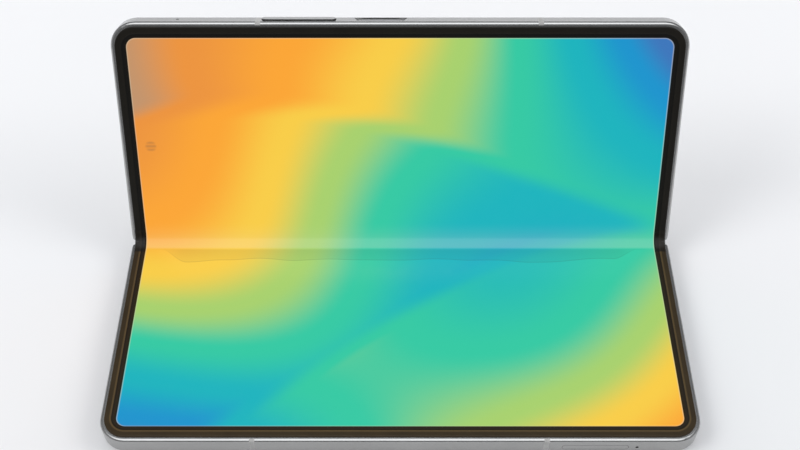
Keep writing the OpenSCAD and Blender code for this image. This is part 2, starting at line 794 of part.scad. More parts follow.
module hinge_spine() {
    color("lightgray") place_spine() difference() {
        along_x(-bay_half + side_cap_gap, bay_half - side_cap_gap) intersection() {
            trough(spine_r);
            translate([-reach, -reach]) square([2 * reach, reach + spine_top]);
        }
        along_x(-bay_half + 1, bay_half - 1) trough(spine_r - spine_wall);
    }
}
module bearing_plate() {
    difference() {
        intersection() {
            trough(spine_r - spine_wall);
            translate([-plate_half, -reach]) square([2 * plate_half, reach + under_fold]);
        }
        for (s = [-1, 1]) {
            translate([s * axis_y, axis_z]) circle(shaft_r + bore_gap);
            translate([s * idler_pitch_r, idler_z]) circle(idler_pin_r + bore_gap);
        }
    }
}
module bearing_plates() {
    color("slategray") place_spine() both_modules()
        for (x = [-plate_out, plate_in]) along_x(x, x + bearing_t) bearing_plate();
}
// A cap with two discs, round which the rails of both halves turn.
module hinge_cap(end) {
    x0 = bay_half - side_cap_gap;
    x1 = side - end_skin - side_cap_gap;
    color("black") place_spine() mirror([end < 0 ? 1 : 0, 0, 0]) along_x(x0, x1) intersection() {
        union() {
            for (s = [-1, 1]) translate([s * axis_y, axis_z]) circle(cap_r);
            translate([-axis_y, axis_z - 0.9]) square([2 * axis_y, cap_top - axis_z + 0.9]);
        }
        translate([-reach, -reach]) square([2 * reach, reach + cap_top]);
    }
}
module hinge_cap_left() {
    hinge_cap(-1);
}
module hinge_cap_right() {
    hinge_cap(1);
}
// The bent part of the panel, an arc tangent to both flat parts.
module display_fold() {
    color("goldenrod") place_spine() along_x(-panel_half, panel_half)
        translate([0, fold_end_z + fold_r * cos(tilt)]) intersection() {
            difference() {
                circle(fold_r + panel_t);
                circle(fold_r);
            }
            polygon([[0, 0], polar(2 * fold_r, -90 - tilt), polar(3 * fold_r, -90),
                polar(2 * fold_r, -90 + tilt)]);
        }
}
module base_idler_gears() {
    color("gold") place_spine() both_modules() idler_gear(-1, 180 / idler_teeth);
}
module lid_idler_gears() {
    color("gold") place_spine() both_modules() idler_gear(1, 180);
}

// ---------------------------------------------------------------- nodes: lid half

module lid_frame() {
    color("lightgray") place_lid() difference() {
        half_frame();
        antenna_cuts();
        key_openings();
        translate([0, port_y, -rail_mid]) along_x(side_in - 1, side + 1)
            stadium(port_w, port_h);
        speaker_row(speaker_y);
        mirror([1, 0, 0]) speaker_row(speaker_y);
        at_inner_camera() translate([0, 0, mid_back - 1]) cylinder(h = 3, r = inner_camera_r);
        rail_pinhole(mic_x);
    }
}
// Both key openings, and the finger scoop with slanted ends around the side key.
module key_openings() {
    scoop_end = 1.4;
    margin = 0.3;
    for (key = [[volume_x, volume_l], [side_x, side_l]]) rail_slot(key[0], key[1] + 2 * key_gap,
        key_h + 2 * key_gap, rail_in - 1, half_w + 1);
    translate([side_x, half_w, -rail_mid - key_h / 2 - 0.5]) linear_extrude(key_h + 1)
        polygon([for (p = [[-side_l / 2 - scoop_end, 1], [side_l / 2 + scoop_end, 1],
            [side_l / 2 + scoop_end, 0], [side_l / 2 + margin, -scoop_d],
            [-side_l / 2 - margin, -scoop_d], [-side_l / 2 - scoop_end, 0]]) p]);
}
module lid_bezel() {
    color("black") place_lid() half_bezel();
}
module lid_display() {
    color("turquoise") place_lid() half_display();
}
module lid_display_plate() {
    color("silver") place_lid() difference() {
        half_display_plate();
        at_inner_camera() translate([0, 0, mid_back]) cylinder(h = 2, r = inner_camera_r);
    }
}
// Places what belongs to the camera island; x runs along the row of lenses.
module at_island() {
    translate([island_x, island_y, 0]) children();
}
module lens_holes(r) {
    for (i = [-1, 0, 1]) translate([i * lens_pitch, 0, -half_t - island_h - ring_h - 1])
        cylinder(h = island_h + ring_h + glass_t + 2, r = r);
}
module rear_glass() {
    color("lightgray") place_lid() difference() {
        half_glass();
        at_island() lens_holes(lens_r + 0.2);
    }
}
module camera_island() {
    edge = 0.5;
    end = (island_l - island_w) / 2;
    color("silver") place_lid() at_island() difference() {
        union() {
            along_y(-island_w / 2 + edge, island_w / 2 - edge)
                translate([-end, -half_t - island_h]) square([2 * end, island_h]);
            along_x(-end, end) for (m = [0, 1]) mirror([m, 0])
                edge_section(island_w / 2, -half_t - island_h, -half_t, 0, edge);
            for (s = [0, 180]) rotate([0, 0, s]) translate([end, 0, 0]) rotate([0, 0, -90])
                rotate_extrude(angle = 180)
                    edge_section(island_w / 2, -half_t - island_h, -half_t, 0, edge);
        }
        lens_holes(lens_r + 0.2);
    }
}
module lens_rings() {
    color("gray") place_lid() at_island() for (i = [-1, 0, 1]) translate([i * lens_pitch, 0,
        -half_t - island_h - ring_h]) difference() {
            cylinder(h = ring_h, r = ring_r);
            translate([0, 0, -1]) cylinder(h = ring_h + 2, r = lens_r);
        }
}
module lens_windows() {
    color("black") place_lid() at_island() for (i = [-1, 0, 1])
        translate([i * lens_pitch, 0, -half_t - island_h - ring_h + 0.15])
            cylinder(h = 0.6, r = lens_r);
}
module camera_modules() {
    barrel_top = -half_t - island_h + 0.3;
    color("black") place_lid() at_island() for (i = [-1, 0, 1]) translate([i * lens_pitch, 0, 0]) {
        translate([0, 0, barrel_top]) cylinder(h = glass_top - barrel_top + 0.1, r = lens_r - 0.3);
        block([-camera_w / 2, -camera_w / 2, glass_top + 0.1],
            [camera_w / 2, camera_w / 2, mid_back]);
    }
}
module flash_window() {
    color("white") place_lid() at_island()
        translate([island_l / 2 + flash_gap + flash_r, 0, -half_t - flash_t])
            cylinder(h = flash_t, r = flash_r);
}
// The main board has a notch at the camera under the display.
module main_board() {
    notch = inner_camera_seat + part_gap;
    color("darkgreen") place_lid() difference() {
        block([main_board_x, inner_start, mid_back - board_t],
            [main_board_x + main_board_l, main_board_end, mid_back]);
        at_inner_camera() block([-inner_camera_in, -notch, mid_back - board_t - 1],
            [notch, notch, mid_back + 1]);
    }
}
module shield_cans() {
    can_x = inner_camera_x + inner_camera_seat + 2 * part_gap;
    can_l = (main_board_x + main_board_l - can_x) / 2 - part_gap;
    color("silver") place_lid() for (i = [0, 1]) {
        x = can_x + i * (can_l + part_gap);
        block([x, inner_start + part_gap, mid_back - board_t - can_h + 0.3 * i],
            [x + can_l, main_board_end - part_gap - 6 * i, mid_back - board_t]);
    }
}
module lid_battery() {
    color("dimgray") place_lid() block([lid_battery_x, inner_start, glass_top + coil_t + 0.1],
        [lid_battery_x + lid_battery_l, lid_battery_end, mid_back]);
}
module charging_coil() {
    color("chocolate") place_lid() translate([lid_battery_x + lid_battery_l / 2,
        (inner_start + lid_battery_end) / 2, glass_top]) difference() {
            cylinder(h = coil_t, r = coil_r);
            translate([0, 0, -1]) cylinder(h = coil_t + 2, r = coil_r / 2);
        }
}
module bottom_speaker() {
    color("black") place_lid() block([side_in - speaker_d, speaker_start, glass_top + 0.3],
        [side_in, speaker_start + speaker_w, mid_back]);
}
// The charging port: a shell with a tongue in it.
module charging_port() {
    back_t = 0.5;
    tongue_w = 6.7;
    tongue_t = 0.7;
    color("silver") place_lid() translate([0, port_y, -rail_mid]) {
        difference() {
            along_x(side_in - port_d, side_in) stadium(port_w + 2 * port_wall, port_h + 2 * port_wall);
            along_x(side_in - port_d + back_t, side_in + 1) stadium(port_w, port_h);
        }
        block([side_in - port_d + back_t - 0.1, -tongue_w / 2, -tongue_t / 2],
            [side_in - 0.5, tongue_w / 2, tongue_t / 2]);
    }
}
module at_inner_camera() {
    translate([inner_camera_x, inner_camera_y, 0]) children();
}
// The camera under the display: its lens passes through the mid-plate.
module inner_camera() {
    body_h = 3;
    color("black") place_lid() at_inner_camera() {
        translate([0, 0, mid_back - body_h]) cylinder(h = body_h, r = inner_camera_seat);
        translate([0, 0, mid_back]) cylinder(h = plate_z - mid_back, r = inner_camera_r);
    }
}
// A thin board that hangs from the mid-plate behind the keys, with a dome switch for each press.
module key_board() {
    color("darkgoldenrod") place_lid() {
        block([volume_x - volume_l / 2, key_board_y, -rail_mid - key_h / 2],
            [side_x + side_l / 2, dome_y, mid_back]);
        for (x = switch_xs) translate([x, dome_y, -rail_mid])
            rotate([-90, 0, 0]) cylinder(h = dome_t, r = 0.9);
    }
}
module lid_antenna_bands() {
    color("gainsboro") place_lid() antenna_bands();
}
module lid_hinge_brackets() {
    color("slategray") place_lid() both_modules() hinge_bracket();
}
module lid_gear_shafts() {
    color("silver") place_spine() both_modules() gear_shaft(1, main_phase(mesh_dir, 180));
}
module lid_friction_springs() {
    color("silver") place_spine() both_modules() spring_stack(1);
}
module lid_hinge_screws() {
    color("gray") place_lid() both_modules() bracket_screws(1);
}

// ---------------------------------------------------------------- nodes: keys

// Each key is a bar with round ends, a flange that keeps it behind the rail, and nubs
// that press the dome switches.
module rail_key(x, l, outer) {
    rail_slot(x, l, key_h, flange_y, outer);
    rail_slot(x, l + 2 * flange_edge, key_h + flange_edge, flange_y - flange_t, flange_y);
    for (at = switch_xs) if (abs(at - x) < l / 2)
        translate([at, flange_y - flange_t - nub_t, -rail_mid])
            rotate([-90, 0, 0]) cylinder(h = nub_t, r = 0.6);
}
module volume_key() {
    color("gray") place_lid() rail_key(volume_x, volume_l, half_w + key_proud);
}
module side_key() {
    color("gray") place_lid() rail_key(side_x, side_l, side_key_top);
}
module fingerprint_sensor() {
    color("dimgray") place_lid()
        rail_slot(side_x, side_l - 1.2, key_h - 0.5, side_key_top, side_key_top + 0.1);
}

base_frame();
base_bezel();
base_display();
base_display_plate();
cover_glass();
cover_display();
cover_camera();
earpiece_mesh();
base_battery();
sub_board();
haptic_motor();
top_speaker();
tray_reader();
base_antenna_bands();
base_hinge_brackets();
base_gear_shafts();
base_friction_springs();
base_hinge_screws();
card_tray();
hinge_spine();
bearing_plates();
hinge_cap_left();
hinge_cap_right();
display_fold();
base_idler_gears();
lid_idler_gears();
lid_frame();
lid_bezel();
lid_display();
lid_display_plate();
rear_glass();
camera_island();
lens_rings();
lens_windows();
flash_window();
camera_modules();
main_board();
shield_cans();
lid_battery();
charging_coil();
bottom_speaker();
charging_port();
inner_camera();
key_board();
lid_antenna_bands();
lid_hinge_brackets();
lid_gear_shafts();
lid_friction_springs();
lid_hinge_screws();
volume_key();
side_key();
fingerprint_sensor();
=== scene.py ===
# %% [markdown]
# # A folding phone, half open
#
# This lesson dresses the solids of a folding phone: two thin slabs that a geared hinge joins,
# with one display that bends across both. The solids already have their real size and place,
# so the work here is the finish of each surface, the bent part of the display, and the small
# things that repeat. Every length is in metres, and every piece is made where it belongs.

import json
import math

import bpy
from mathutils import Matrix, Vector


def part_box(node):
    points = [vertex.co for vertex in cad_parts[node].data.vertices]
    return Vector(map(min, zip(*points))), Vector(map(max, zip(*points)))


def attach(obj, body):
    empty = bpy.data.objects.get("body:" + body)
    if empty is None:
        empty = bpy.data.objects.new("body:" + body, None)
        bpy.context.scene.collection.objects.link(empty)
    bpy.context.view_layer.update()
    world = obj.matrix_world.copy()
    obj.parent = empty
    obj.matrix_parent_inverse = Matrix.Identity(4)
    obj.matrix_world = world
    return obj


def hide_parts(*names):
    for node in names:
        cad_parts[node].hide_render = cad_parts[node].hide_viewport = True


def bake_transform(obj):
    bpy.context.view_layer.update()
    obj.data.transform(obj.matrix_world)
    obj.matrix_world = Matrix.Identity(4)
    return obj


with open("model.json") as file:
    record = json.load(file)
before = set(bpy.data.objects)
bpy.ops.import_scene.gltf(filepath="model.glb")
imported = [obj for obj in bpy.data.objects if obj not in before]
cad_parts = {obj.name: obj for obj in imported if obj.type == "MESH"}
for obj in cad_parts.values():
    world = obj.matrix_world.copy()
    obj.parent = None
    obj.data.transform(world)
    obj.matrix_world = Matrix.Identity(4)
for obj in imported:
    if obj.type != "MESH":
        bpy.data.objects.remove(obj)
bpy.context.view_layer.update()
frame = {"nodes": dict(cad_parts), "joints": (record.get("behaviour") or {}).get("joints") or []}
solids = frame["nodes"]
joints = {joint["name"]: joint for joint in frame["joints"]}
mm = 0.001

# %% [markdown]
# ## Sizes that the lesson needs
#
# A measured size beats a typed one: if the solids change, the picture follows. The two fold
# joints give the hinge line and the angle at which the phone stands, and the flat part of the
# display gives the height of its surface. A point of either half is easiest to name in that
# half's own terms: how far it lies from the hinge line, and how high over the display.

# %% Measure the hinge and the halves
base_pivot = Vector(joints["base_fold"]["pos_m"])
lid_pivot = Vector(joints["lid_fold"]["pos_m"])
tilt = math.radians(-joints["base_fold"]["range_deg"][0])
pivot_y = (lid_pivot - base_pivot).length / 2
screen_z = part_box("base_display")[1].z
pivot_z = base_pivot.z - screen_z
hinge_y = base_pivot.y + pivot_y
flat_start = hinge_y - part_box("base_display")[1].y
half_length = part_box("base_frame")[1].x
half_width = hinge_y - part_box("base_frame")[0].y
screen_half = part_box("base_display")[1].x
print(f"tilt {math.degrees(tilt):.1f} degrees, half {half_width / mm:.2f} mm wide")


# %% [markdown]
# Each body of the hinge turns about a line along X. A 4 by 4 matrix for a turn about a pivot
# is the plainest way to write that, and two of them in a row carry a point of the raised half
# to its place.

# %% Places of the hinge and of the raised half
def turn_about(y, z, angle):
    """The matrix of a turn about the line along X through (y, z)."""
    there = Matrix.Translation((0, y, z))
    return there @ Matrix.Rotation(angle, 4, "X") @ there.inverted()


on_base = Matrix.Translation((0, hinge_y, screen_z)) @ Matrix.Scale(-1, 4, (0, 1, 0))
on_spine = Matrix.Translation((0, hinge_y, screen_z)) @ turn_about(-pivot_y, pivot_z, tilt)
on_lid = on_spine @ turn_about(pivot_y, pivot_z, tilt)
lid_turn = on_lid.to_euler().x
print(f"the raised half leans back {90 - math.degrees(lid_turn):.1f} degrees from upright")

# %% [markdown]
# ## The camera
#
# The camera comes first, because it decides how much detail each surface needs. It looks down
# at the open phone from in front of it. A long lens keeps the two halves in proportion.

# %% Place the camera
camera_place = (-0.05 * mm, -168.63 * mm, 262.17 * mm)
camera_down = math.radians(51.87)
lens_length = 50.69
picture_shift = 0.0238

camera = bpy.data.objects.new("camera", bpy.data.cameras.new("camera"))
bpy.context.scene.collection.objects.link(camera)
camera.data.lens = lens_length
camera.data.sensor_width = 36
camera.data.clip_start = 0.01
camera.data.clip_end = 20
camera.data.shift_y = picture_shift
camera.location = camera_place
camera.rotation_euler = (math.pi / 2 - camera_down, 0, 0)
bpy.context.scene.camera = camera
print("camera", [round(v, 3) for v in camera.location])

# %% [markdown]
# ## Light and floor
#
# A phone on show stands on a pale seamless floor under large soft lamps. Metal and glass show
# their surroundings, so what they mirror is arranged with care: one large bright panel
# overhead, a little towards the camera, a weaker glow at both sides, and dim walls between
# them. Rounded edges then carry one bright line and flat rims stay calm. The lamps give light
# but are not mirrored, and the camera itself sees the same pale studio all round.
#
# All of this, and every finish later on, is built from nodes. A node takes a line to add, and
# a line more for each value and each link, so a few helpers do that in one call.


# %% Helpers that add nodes
def put(tree, kind, inputs=None, **settings):
    """Adds one node, and gives it its settings and its input values or links."""
    made = tree.nodes.new(kind)
    for key, value in settings.items():
        setattr(made, key, value)
    for key, value in (inputs or {}).items():
        socket = made.inputs[key]
        if isinstance(value, bpy.types.NodeSocket):
            tree.links.new(value, socket)
        else:
            socket.default_value = value
    return made


def calc(tree, operation, first, second=0.0, third=0.0):
    """One Math node."""
    return put(tree, "ShaderNodeMath", {0: first, 1: second, 2: third},
               operation=operation).outputs[0]


def parts_of(tree, vector):
    """The three parts of a vector."""
    return put(tree, "ShaderNodeSeparateXYZ", {0: vector}).outputs


def step(tree, value, low, high, start=0.0, end=1.0):
    """A smooth step from start to end between low and high."""
    return put(tree, "ShaderNodeMapRange", {0: value, 1: low, 2: high, 3: start, 4: end},
               interpolation_type="SMOOTHSTEP").outputs[0]


def mix_shaders(tree, factor, first, second):
    """Mixes two shaders by a grey value."""
    return put(tree, "ShaderNodeMixShader", {0: factor, 1: first.outputs[0],
                                             2: second.outputs[0]})


print("node helpers ready")

# %% [markdown]
# The room round the phone could be a picture of a studio, but three plain backgrounds do the
# same without a file: one that lights, one that metal and glass mirror, and one that is seen.
# Light Path tells which kind of ray asks. The mirrored one is worked out from the direction of
# the ray: the panel overhead lies round its axis, and its soft edge is given by the cosine of
# the angle from that axis.

# %% The world
studio_colour = (0.9, 0.91, 0.93, 1)
studio_level = 0.97
room_level = 0.62
panel_axis = (0, -0.21, 0.98)
panel_edge = (0.73, 0.91)
wall_level, panel_level = 0.22, 2.3
side_edge = (0.45, 0.85)
side_level = 0.2

world = bpy.data.worlds.new("studio")
bpy.context.scene.world = world
world.use_nodes = True
sky = world.node_tree
sky.nodes.clear()
ray = put(sky, "ShaderNodeLightPath").outputs
direction = put(sky, "ShaderNodeTexCoord").outputs["Generated"]
sideways = calc(sky, "ABSOLUTE", parts_of(sky, direction)[0])
side_glow = step(sky, sideways, *side_edge, 0.0, side_level)
upwards = put(sky, "ShaderNodeVectorMath", {0: direction, 1: panel_axis},
              operation="DOT_PRODUCT").outputs["Value"]
top_glow = step(sky, upwards, *panel_edge, wall_level, panel_level)
glow = calc(sky, "ADD", side_glow, top_glow)
lit = put(sky, "ShaderNodeBackground", {"Color": (0.93, 0.95, 1, 1), "Strength": room_level})
mirrored = put(sky, "ShaderNodeBackground", {"Color": (0.95, 0.97, 1, 1), "Strength": glow})
shown = put(sky, "ShaderNodeBackground", {"Color": studio_colour, "Strength": studio_level})
looked_at = calc(sky, "MAXIMUM", ray["Is Camera Ray"], ray["Is Transmission Ray"])
soft = mix_shaders(sky, ray["Is Glossy Ray"], lit, mirrored)
both = mix_shaders(sky, looked_at, soft, shown)
put(sky, "ShaderNodeOutputWorld", {"Surface": both.outputs[0]})
print("panel", panel_level, "sides", side_level, "walls", wall_level)

# %% [markdown]
# Three soft area lamps shape the light: one from each side of the front, the left one a little
# stronger, and one low behind the phone, which lifts its back and the floor behind it. Small
# lamps or a sun would draw hard shadows, which such a thin shiny object doesn't need.


# %% The lamps
def soft_lamp(name, place, target, size, power):
    """A square, white area lamp that faces its target."""
    lamp = bpy.data.objects.new(name, bpy.data.lights.new(name, "AREA"))
    bpy.context.scene.collection.objects.link(lamp)
    lamp.data.size = size
    lamp.data.energy = power
    lamp.location = place
    lamp.rotation_euler = (Vector(target) - Vector(place)).to_track_quat("-Z", "Y").to_euler()
    lamp.visible_glossy = False
    print(name, power, "watts")


soft_lamp("lamp_left", (-0.55, -0.1, 0.6), target=(0, 0, 0.02), size=0.4, power=2.2)
soft_lamp("lamp_right", (0.6, 0.0, 0.5), target=(0, 0, 0.02), size=0.35, power=1.5)
soft_lamp("lamp_back", (0.0, 0.9, 0.3), target=(0, 0.05, 0.05), size=0.4, power=2.2)

# %% [markdown]
# The floor is one large plane. What the camera, the metal and the glass see of it is a little
# paler than what lights the phone from below, and both keep the shadow, because the surface
# stays a diffuse one. Far from the phone they see the floor run into the colour of the studio
# behind it, as paper that sweeps up to a wall does.

# %% The paper of the floor
sweep_start, sweep_end = 0.26, 0.62
near_shaded_tone, far_lit_tone = 0.84, 0.93
near_y, far_y = -0.08, 0.3
unseen_paper = (0.7, 0.71, 0.72, 1)

paper = bpy.data.materials.new("paper")
paper.use_nodes = True
tree = paper.node_tree
tree.nodes.clear()
ray = put(tree, "ShaderNodeLightPath").outputs
place = put(tree, "ShaderNodeTexCoord").outputs["Object"]
fibre = put(tree, "ShaderNodeTexNoise", {"Vector": place, "Scale": 6, "Detail": 3}).outputs[0]
# painted light: what the camera, metal and glass see of the paper is painted darker towards the
# front and paler towards the back, as a falloff of the light
tone = put(tree, "ShaderNodeMapRange", {0: parts_of(tree, place)[1], 1: near_y, 2: far_y,
                                        3: near_shaded_tone, 4: far_lit_tone}).outputs[0]
uneven = put(tree, "ShaderNodeMapRange", {0: fibre, 3: 0.99, 4: 1.01}).outputs[0]
tone = calc(tree, "MULTIPLY", tone, uneven)
white = put(tree, "ShaderNodeCombineColor", {0: tone, 1: tone, 2: tone}).outputs[0]
plain = put(tree, "ShaderNodeBsdfDiffuse", {"Color": white})
dim = put(tree, "ShaderNodeBsdfDiffuse", {"Color": unseen_paper})
seen = calc(tree, "MAXIMUM", ray["Is Camera Ray"], ray["Is Glossy Ray"])
seen = calc(tree, "MAXIMUM", seen, ray["Is Transmission Ray"])
nearby = mix_shaders(tree, seen, dim, plain)
away = put(tree, "ShaderNodeVectorMath", {0: place}, operation="LENGTH").outputs["Value"]
away = calc(tree, "MULTIPLY", step(tree, away, sweep_start, sweep_end), seen)
backdrop = put(tree, "ShaderNodeEmission", {"Color": studio_colour, "Strength": studio_level})
sweep = mix_shaders(tree, away, nearby, backdrop)
put(tree, "ShaderNodeOutputMaterial", {"Surface": sweep.outputs[0]})
print(len(tree.nodes), "nodes in the paper")

# %% The floor
reach = 8.0
floor_mesh = bpy.data.meshes.new("floor")
floor_mesh.from_pydata([(-reach, -reach, 0), (reach, -reach, 0), (reach, reach, 0),
                        (-reach, reach, 0)], [], [(0, 1, 2, 3)])
floor_mesh.materials.append(paper)
floor = bpy.data.objects.new("floor", floor_mesh)
bpy.context.scene.collection.objects.link(floor)
print("floor", reach * 2, "m square")

# %% [markdown]
# ## Finishes
#
# Each finish is a small function that builds a material from procedural nodes. All of them
# share one pattern: Object coordinates drive noise at the scale of the real grain, the noise
# moves the roughness and the bump a little, and a slower noise moves the colour, because no
# real surface is perfectly even. What is constant sits on the shader's own sockets.


# %% A helper that starts a material
def start_material(name, **sockets):
    """A new material with Object coordinates and a Principled shader."""
    material = bpy.data.materials.new(name)
    material.use_nodes = True
    tree = material.node_tree
    tree.nodes.clear()
    place = put(tree, "ShaderNodeTexCoord").outputs["Object"]
    shader = put(tree, "ShaderNodeBsdfPrincipled",
                 {key.replace("_", " ").title().replace("Ior", "IOR"): value
                  for key, value in sockets.items()})
    put(tree, "ShaderNodeOutputMaterial", {"Surface": shader.outputs[0]})
    return material, tree, place, shader


print("materials can be started")


# %% Helpers for colour and relief
def noise(tree, place, scale, detail=2.0, rough=0.5):
    """The grey value of a noise at that many cells a metre."""
    return put(tree, "ShaderNodeTexNoise", {"Vector": place, "Scale": scale, "Detail": detail,
                                            "Roughness": rough}).outputs[0]


def spread(tree, value, low, high):
    """Maps a noise's usual range to low and high."""
    return put(tree, "ShaderNodeMapRange", {0: value, 1: 0.3, 2: 0.7, 3: low,
                                            4: high}).outputs[0]


def blend_colours(tree, factor, first, second):
    """Mixes two colours by a grey value."""
    mixed = put(tree, "ShaderNodeMix", data_type="RGBA")
    tree.links.new(factor, mixed.inputs[0])
    for socket, colour in ((mixed.inputs[6], first), (mixed.inputs[7], second)):
        if isinstance(colour, bpy.types.NodeSocket):
            tree.links.new(colour, socket)
        else:
            socket.default_value = (*colour, 1)
    return mixed.outputs[2]


def bump(tree, shader, height, depth, strength=1.0):
    """Lets a grey value raise the surface by depth metres."""
    made = put(tree, "ShaderNodeBump", {"Height": height, "Distance": depth,
                                        "Strength": strength})
    tree.links.new(made.outputs[0], shader.inputs["Normal"])


print("finish helpers ready")

# %% [markdown]
# Blasted and anodised metal has a grain of about a tenth of a millimetre, so the noise has
# about ten thousand cells a metre. Brushed steel has the same noise, stretched along one axis
# by a Mapping node.


# %% Metal finishes
def satin_metal(name, colour, roughness, grain=9000, depth=2e-6):
    """Bead-blasted, anodised metal."""
    material, tree, place, shader = start_material(name, metallic=1.0)
    darker = tuple(0.93 * c for c in colour)
    tint = blend_colours(tree, spread(tree, noise(tree, place, 60), 0, 1), darker, colour)
    fine = noise(tree, place, grain, 1)
    tree.links.new(tint, shader.inputs["Base Color"])
    tree.links.new(spread(tree, fine, roughness - 0.04, roughness + 0.05),
                   shader.inputs["Roughness"])
    bump(tree, shader, fine, depth)
    return material


def brushed_metal(name, colour, roughness, along=(0.04, 1, 1)):
    """Metal with fine lines along one axis."""
    material, tree, place, shader = start_material(name, metallic=1.0)
    lines = put(tree, "ShaderNodeMapping", {"Vector": place, "Scale": along}).outputs[0]
    stroke = noise(tree, lines, 5000, 3)
    darker = tuple(0.8 * c for c in colour)
    tree.links.new(blend_colours(tree, spread(tree, stroke, 0, 1), darker, colour),
                   shader.inputs["Base Color"])
    tree.links.new(spread(tree, stroke, roughness - 0.06, roughness + 0.08),
                   shader.inputs["Roughness"])
    bump(tree, shader, stroke, 3e-6)
    return material


alloy_colour = (0.42, 0.418, 0.412)
alloy = satin_metal("satin_alloy", alloy_colour, 0.22)
island_metal = satin_metal("island_metal", (0.56, 0.555, 0.545), 0.30, 11000)
steel = brushed_metal("brushed_steel", (0.56, 0.57, 0.59), 0.34)
ring_metal = brushed_metal("ring_metal", (0.36, 0.365, 0.375), 0.22, (1, 1, 0.05))
brass = satin_metal("brass", (0.80, 0.62, 0.30), 0.28, 6000)
print("five metals")

# %% [markdown]
# Plastic and rubber are never pure black: a little colour and a soft, uneven gloss make them
# read as a material. Back glass has its colour on the inside, under a hard clear surface.


# %% Plastic, rubber and glass finishes
def moulded(name, colour, roughness, grain=7000, depth=3e-6, coat=0.0):
    """Moulded plastic or rubber with a fine grain."""
    material, tree, place, shader = start_material(name, coat_weight=coat, coat_roughness=0.2)
    lighter = tuple(min(1, 1.35 * c + 0.004) for c in colour)
    tint = blend_colours(tree, spread(tree, noise(tree, place, 180, 3), 0, 1), colour, lighter)
    fine = noise(tree, place, grain, 2)
    tree.links.new(tint, shader.inputs["Base Color"])
    tree.links.new(spread(tree, fine, roughness - 0.06, roughness + 0.06),
                   shader.inputs["Roughness"])
    bump(tree, shader, fine, depth)
    return material


def glass_sheet(name, colour, roughness, sheen=0.0):
    """Painted-back glass: the colour lies under a clear, hard coat."""
    material, tree, place, shader = start_material(name, coat_weight=0.6, coat_roughness=0.05,
                                                   sheen_weight=sheen)
    lighter = tuple(min(1, 1.06 * c + 0.004) for c in colour)
    tint = blend_colours(tree, spread(tree, noise(tree, place, 25, 2), 0, 1), colour, lighter)
    fine = noise(tree, place, 14000, 1)
    tree.links.new(tint, shader.inputs["Base Color"])
    tree.links.new(spread(tree, fine, roughness - 0.03, roughness + 0.03),
                   shader.inputs["Roughness"])
    bump(tree, shader, fine, 4e-7)
    return material


cap_plastic = moulded("cap_plastic", (0.012, 0.011, 0.010), 0.42)
band_plastic = moulded("band_plastic", (0.37, 0.365, 0.35), 0.45, 9000, 1e-6)
back_glass = glass_sheet("back_glass", (0.80, 0.79, 0.755), 0.42, 0.1)
print("plastics and glass")

# %% [markdown]
# ## Two coordinate systems that patterns follow
#
# Object coordinates are fine for grain, but a picture or a ring has to know where it is on its
# half. A Mapping node turns Object coordinates into the half's own: how far along the hinge,
# how far out from it, and how high over the display. The middle of a round part is measured
# from its solid in the same terms.


# %% Coordinates of each half
def lid_place(tree, place):
    """Object coordinates as coordinates of the raised half."""
    back = on_lid.inverted()
    return put(tree, "ShaderNodeMapping", {"Vector": place, "Rotation": (-lid_turn, 0, 0),
                                           "Location": back.translation}).outputs[0]


def base_place(tree, place):
    """Object coordinates as coordinates of the half that lies down."""
    return put(tree, "ShaderNodeMapping", {"Vector": place, "Scale": (1, -1, 1),
                                           "Location": (0, hinge_y, -screen_z)}).outputs[0]


def spot_on_lid(node):
    """Middle of a solid in the terms of the raised half, and half its length along X."""
    low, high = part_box(node)
    return on_lid.inverted() @ ((low + high) / 2), (high.x - low.x) / 2


hidden_lens, hidden_radius = spot_on_lid("inner_camera")
print("hidden camera at", [round(v / mm, 1) for v in hidden_lens])


# %% Helpers for patterns
def radius_of(tree, first, second):
    """The length of a flat vector."""
    squares = calc(tree, "ADD", calc(tree, "MULTIPLY", first, first),
                   calc(tree, "MULTIPLY", second, second))
    return calc(tree, "SQRT", squares)


def distance_from(tree, x, y, spot):
    """How far the flat place (x, y) lies from a spot."""
    return radius_of(tree, calc(tree, "SUBTRACT", x, spot.x), calc(tree, "SUBTRACT", y, spot.y))


def bands(tree, value, stops, interpolation="EASE"):
    """A colour ramp whose stops are (position, colour)."""
    ramp = put(tree, "ShaderNodeValToRGB", {0: value})
    ramp.color_ramp.interpolation = interpolation
    elements = ramp.color_ramp.elements
    while len(elements) < len(stops):
        elements.new(0.5)
    for element, (position, colour) in zip(elements, stops):
        element.position = position
        element.color = (*colour, 1)
    return ramp.outputs[0]


def screen_colour(red, green, blue):
    """A colour as a display states it, 0 to 255, in the linear values that shaders use."""
    return tuple(((v / 255 + 0.055) / 1.055) ** 2.4 for v in (red, green, blue))


print("pattern helpers ready")

# %% [markdown]
# The keys are the same alloy as the rails. Their flanks are painted black as shade, so that the
# gap round a key reads as one clean dark line: the metal is bright on the key's outer face, and
# from a fifth of a millimetre below that face the flanks carry painted shade in black.


# %% The keys' finish
def key_finish(name, node):
    """The rails' alloy on a key's outer face, with painted shade in black on its flanks."""
    material, tree, place, shader = start_material(name, metallic=1.0)
    back = on_lid.inverted()
    top = max((back @ vertex.co).y for vertex in solids[node].data.vertices)
    outwards = parts_of(tree, lid_place(tree, place))[1]
    grain = noise(tree, place, 12000, 1)
    # painted shade: under the key's outer face its flanks fade to black
    flank_shade = put(tree, "ShaderNodeMapRange", {0: outwards, 1: top - full_shade_below,
                                             2: top - shade_free_above, 3: 1.0, 4: 0.0}).outputs[0]
    tree.links.new(blend_colours(tree, flank_shade, alloy_colour, (0.015, 0.015, 0.015)),
                   shader.inputs["Base Color"])
    tree.links.new(spread(tree, grain, 0.18, 0.27), shader.inputs["Roughness"])
    bump(tree, shader, grain, 2e-6)
    print(name, "top at", round(top / mm, 2), "mm from the hinge")
    return material


shade_free_above, full_shade_below = 0.13 * mm, 0.20 * mm
volume_metal = key_finish("volume_metal", "volume_key")
side_metal = key_finish("side_metal", "side_key")

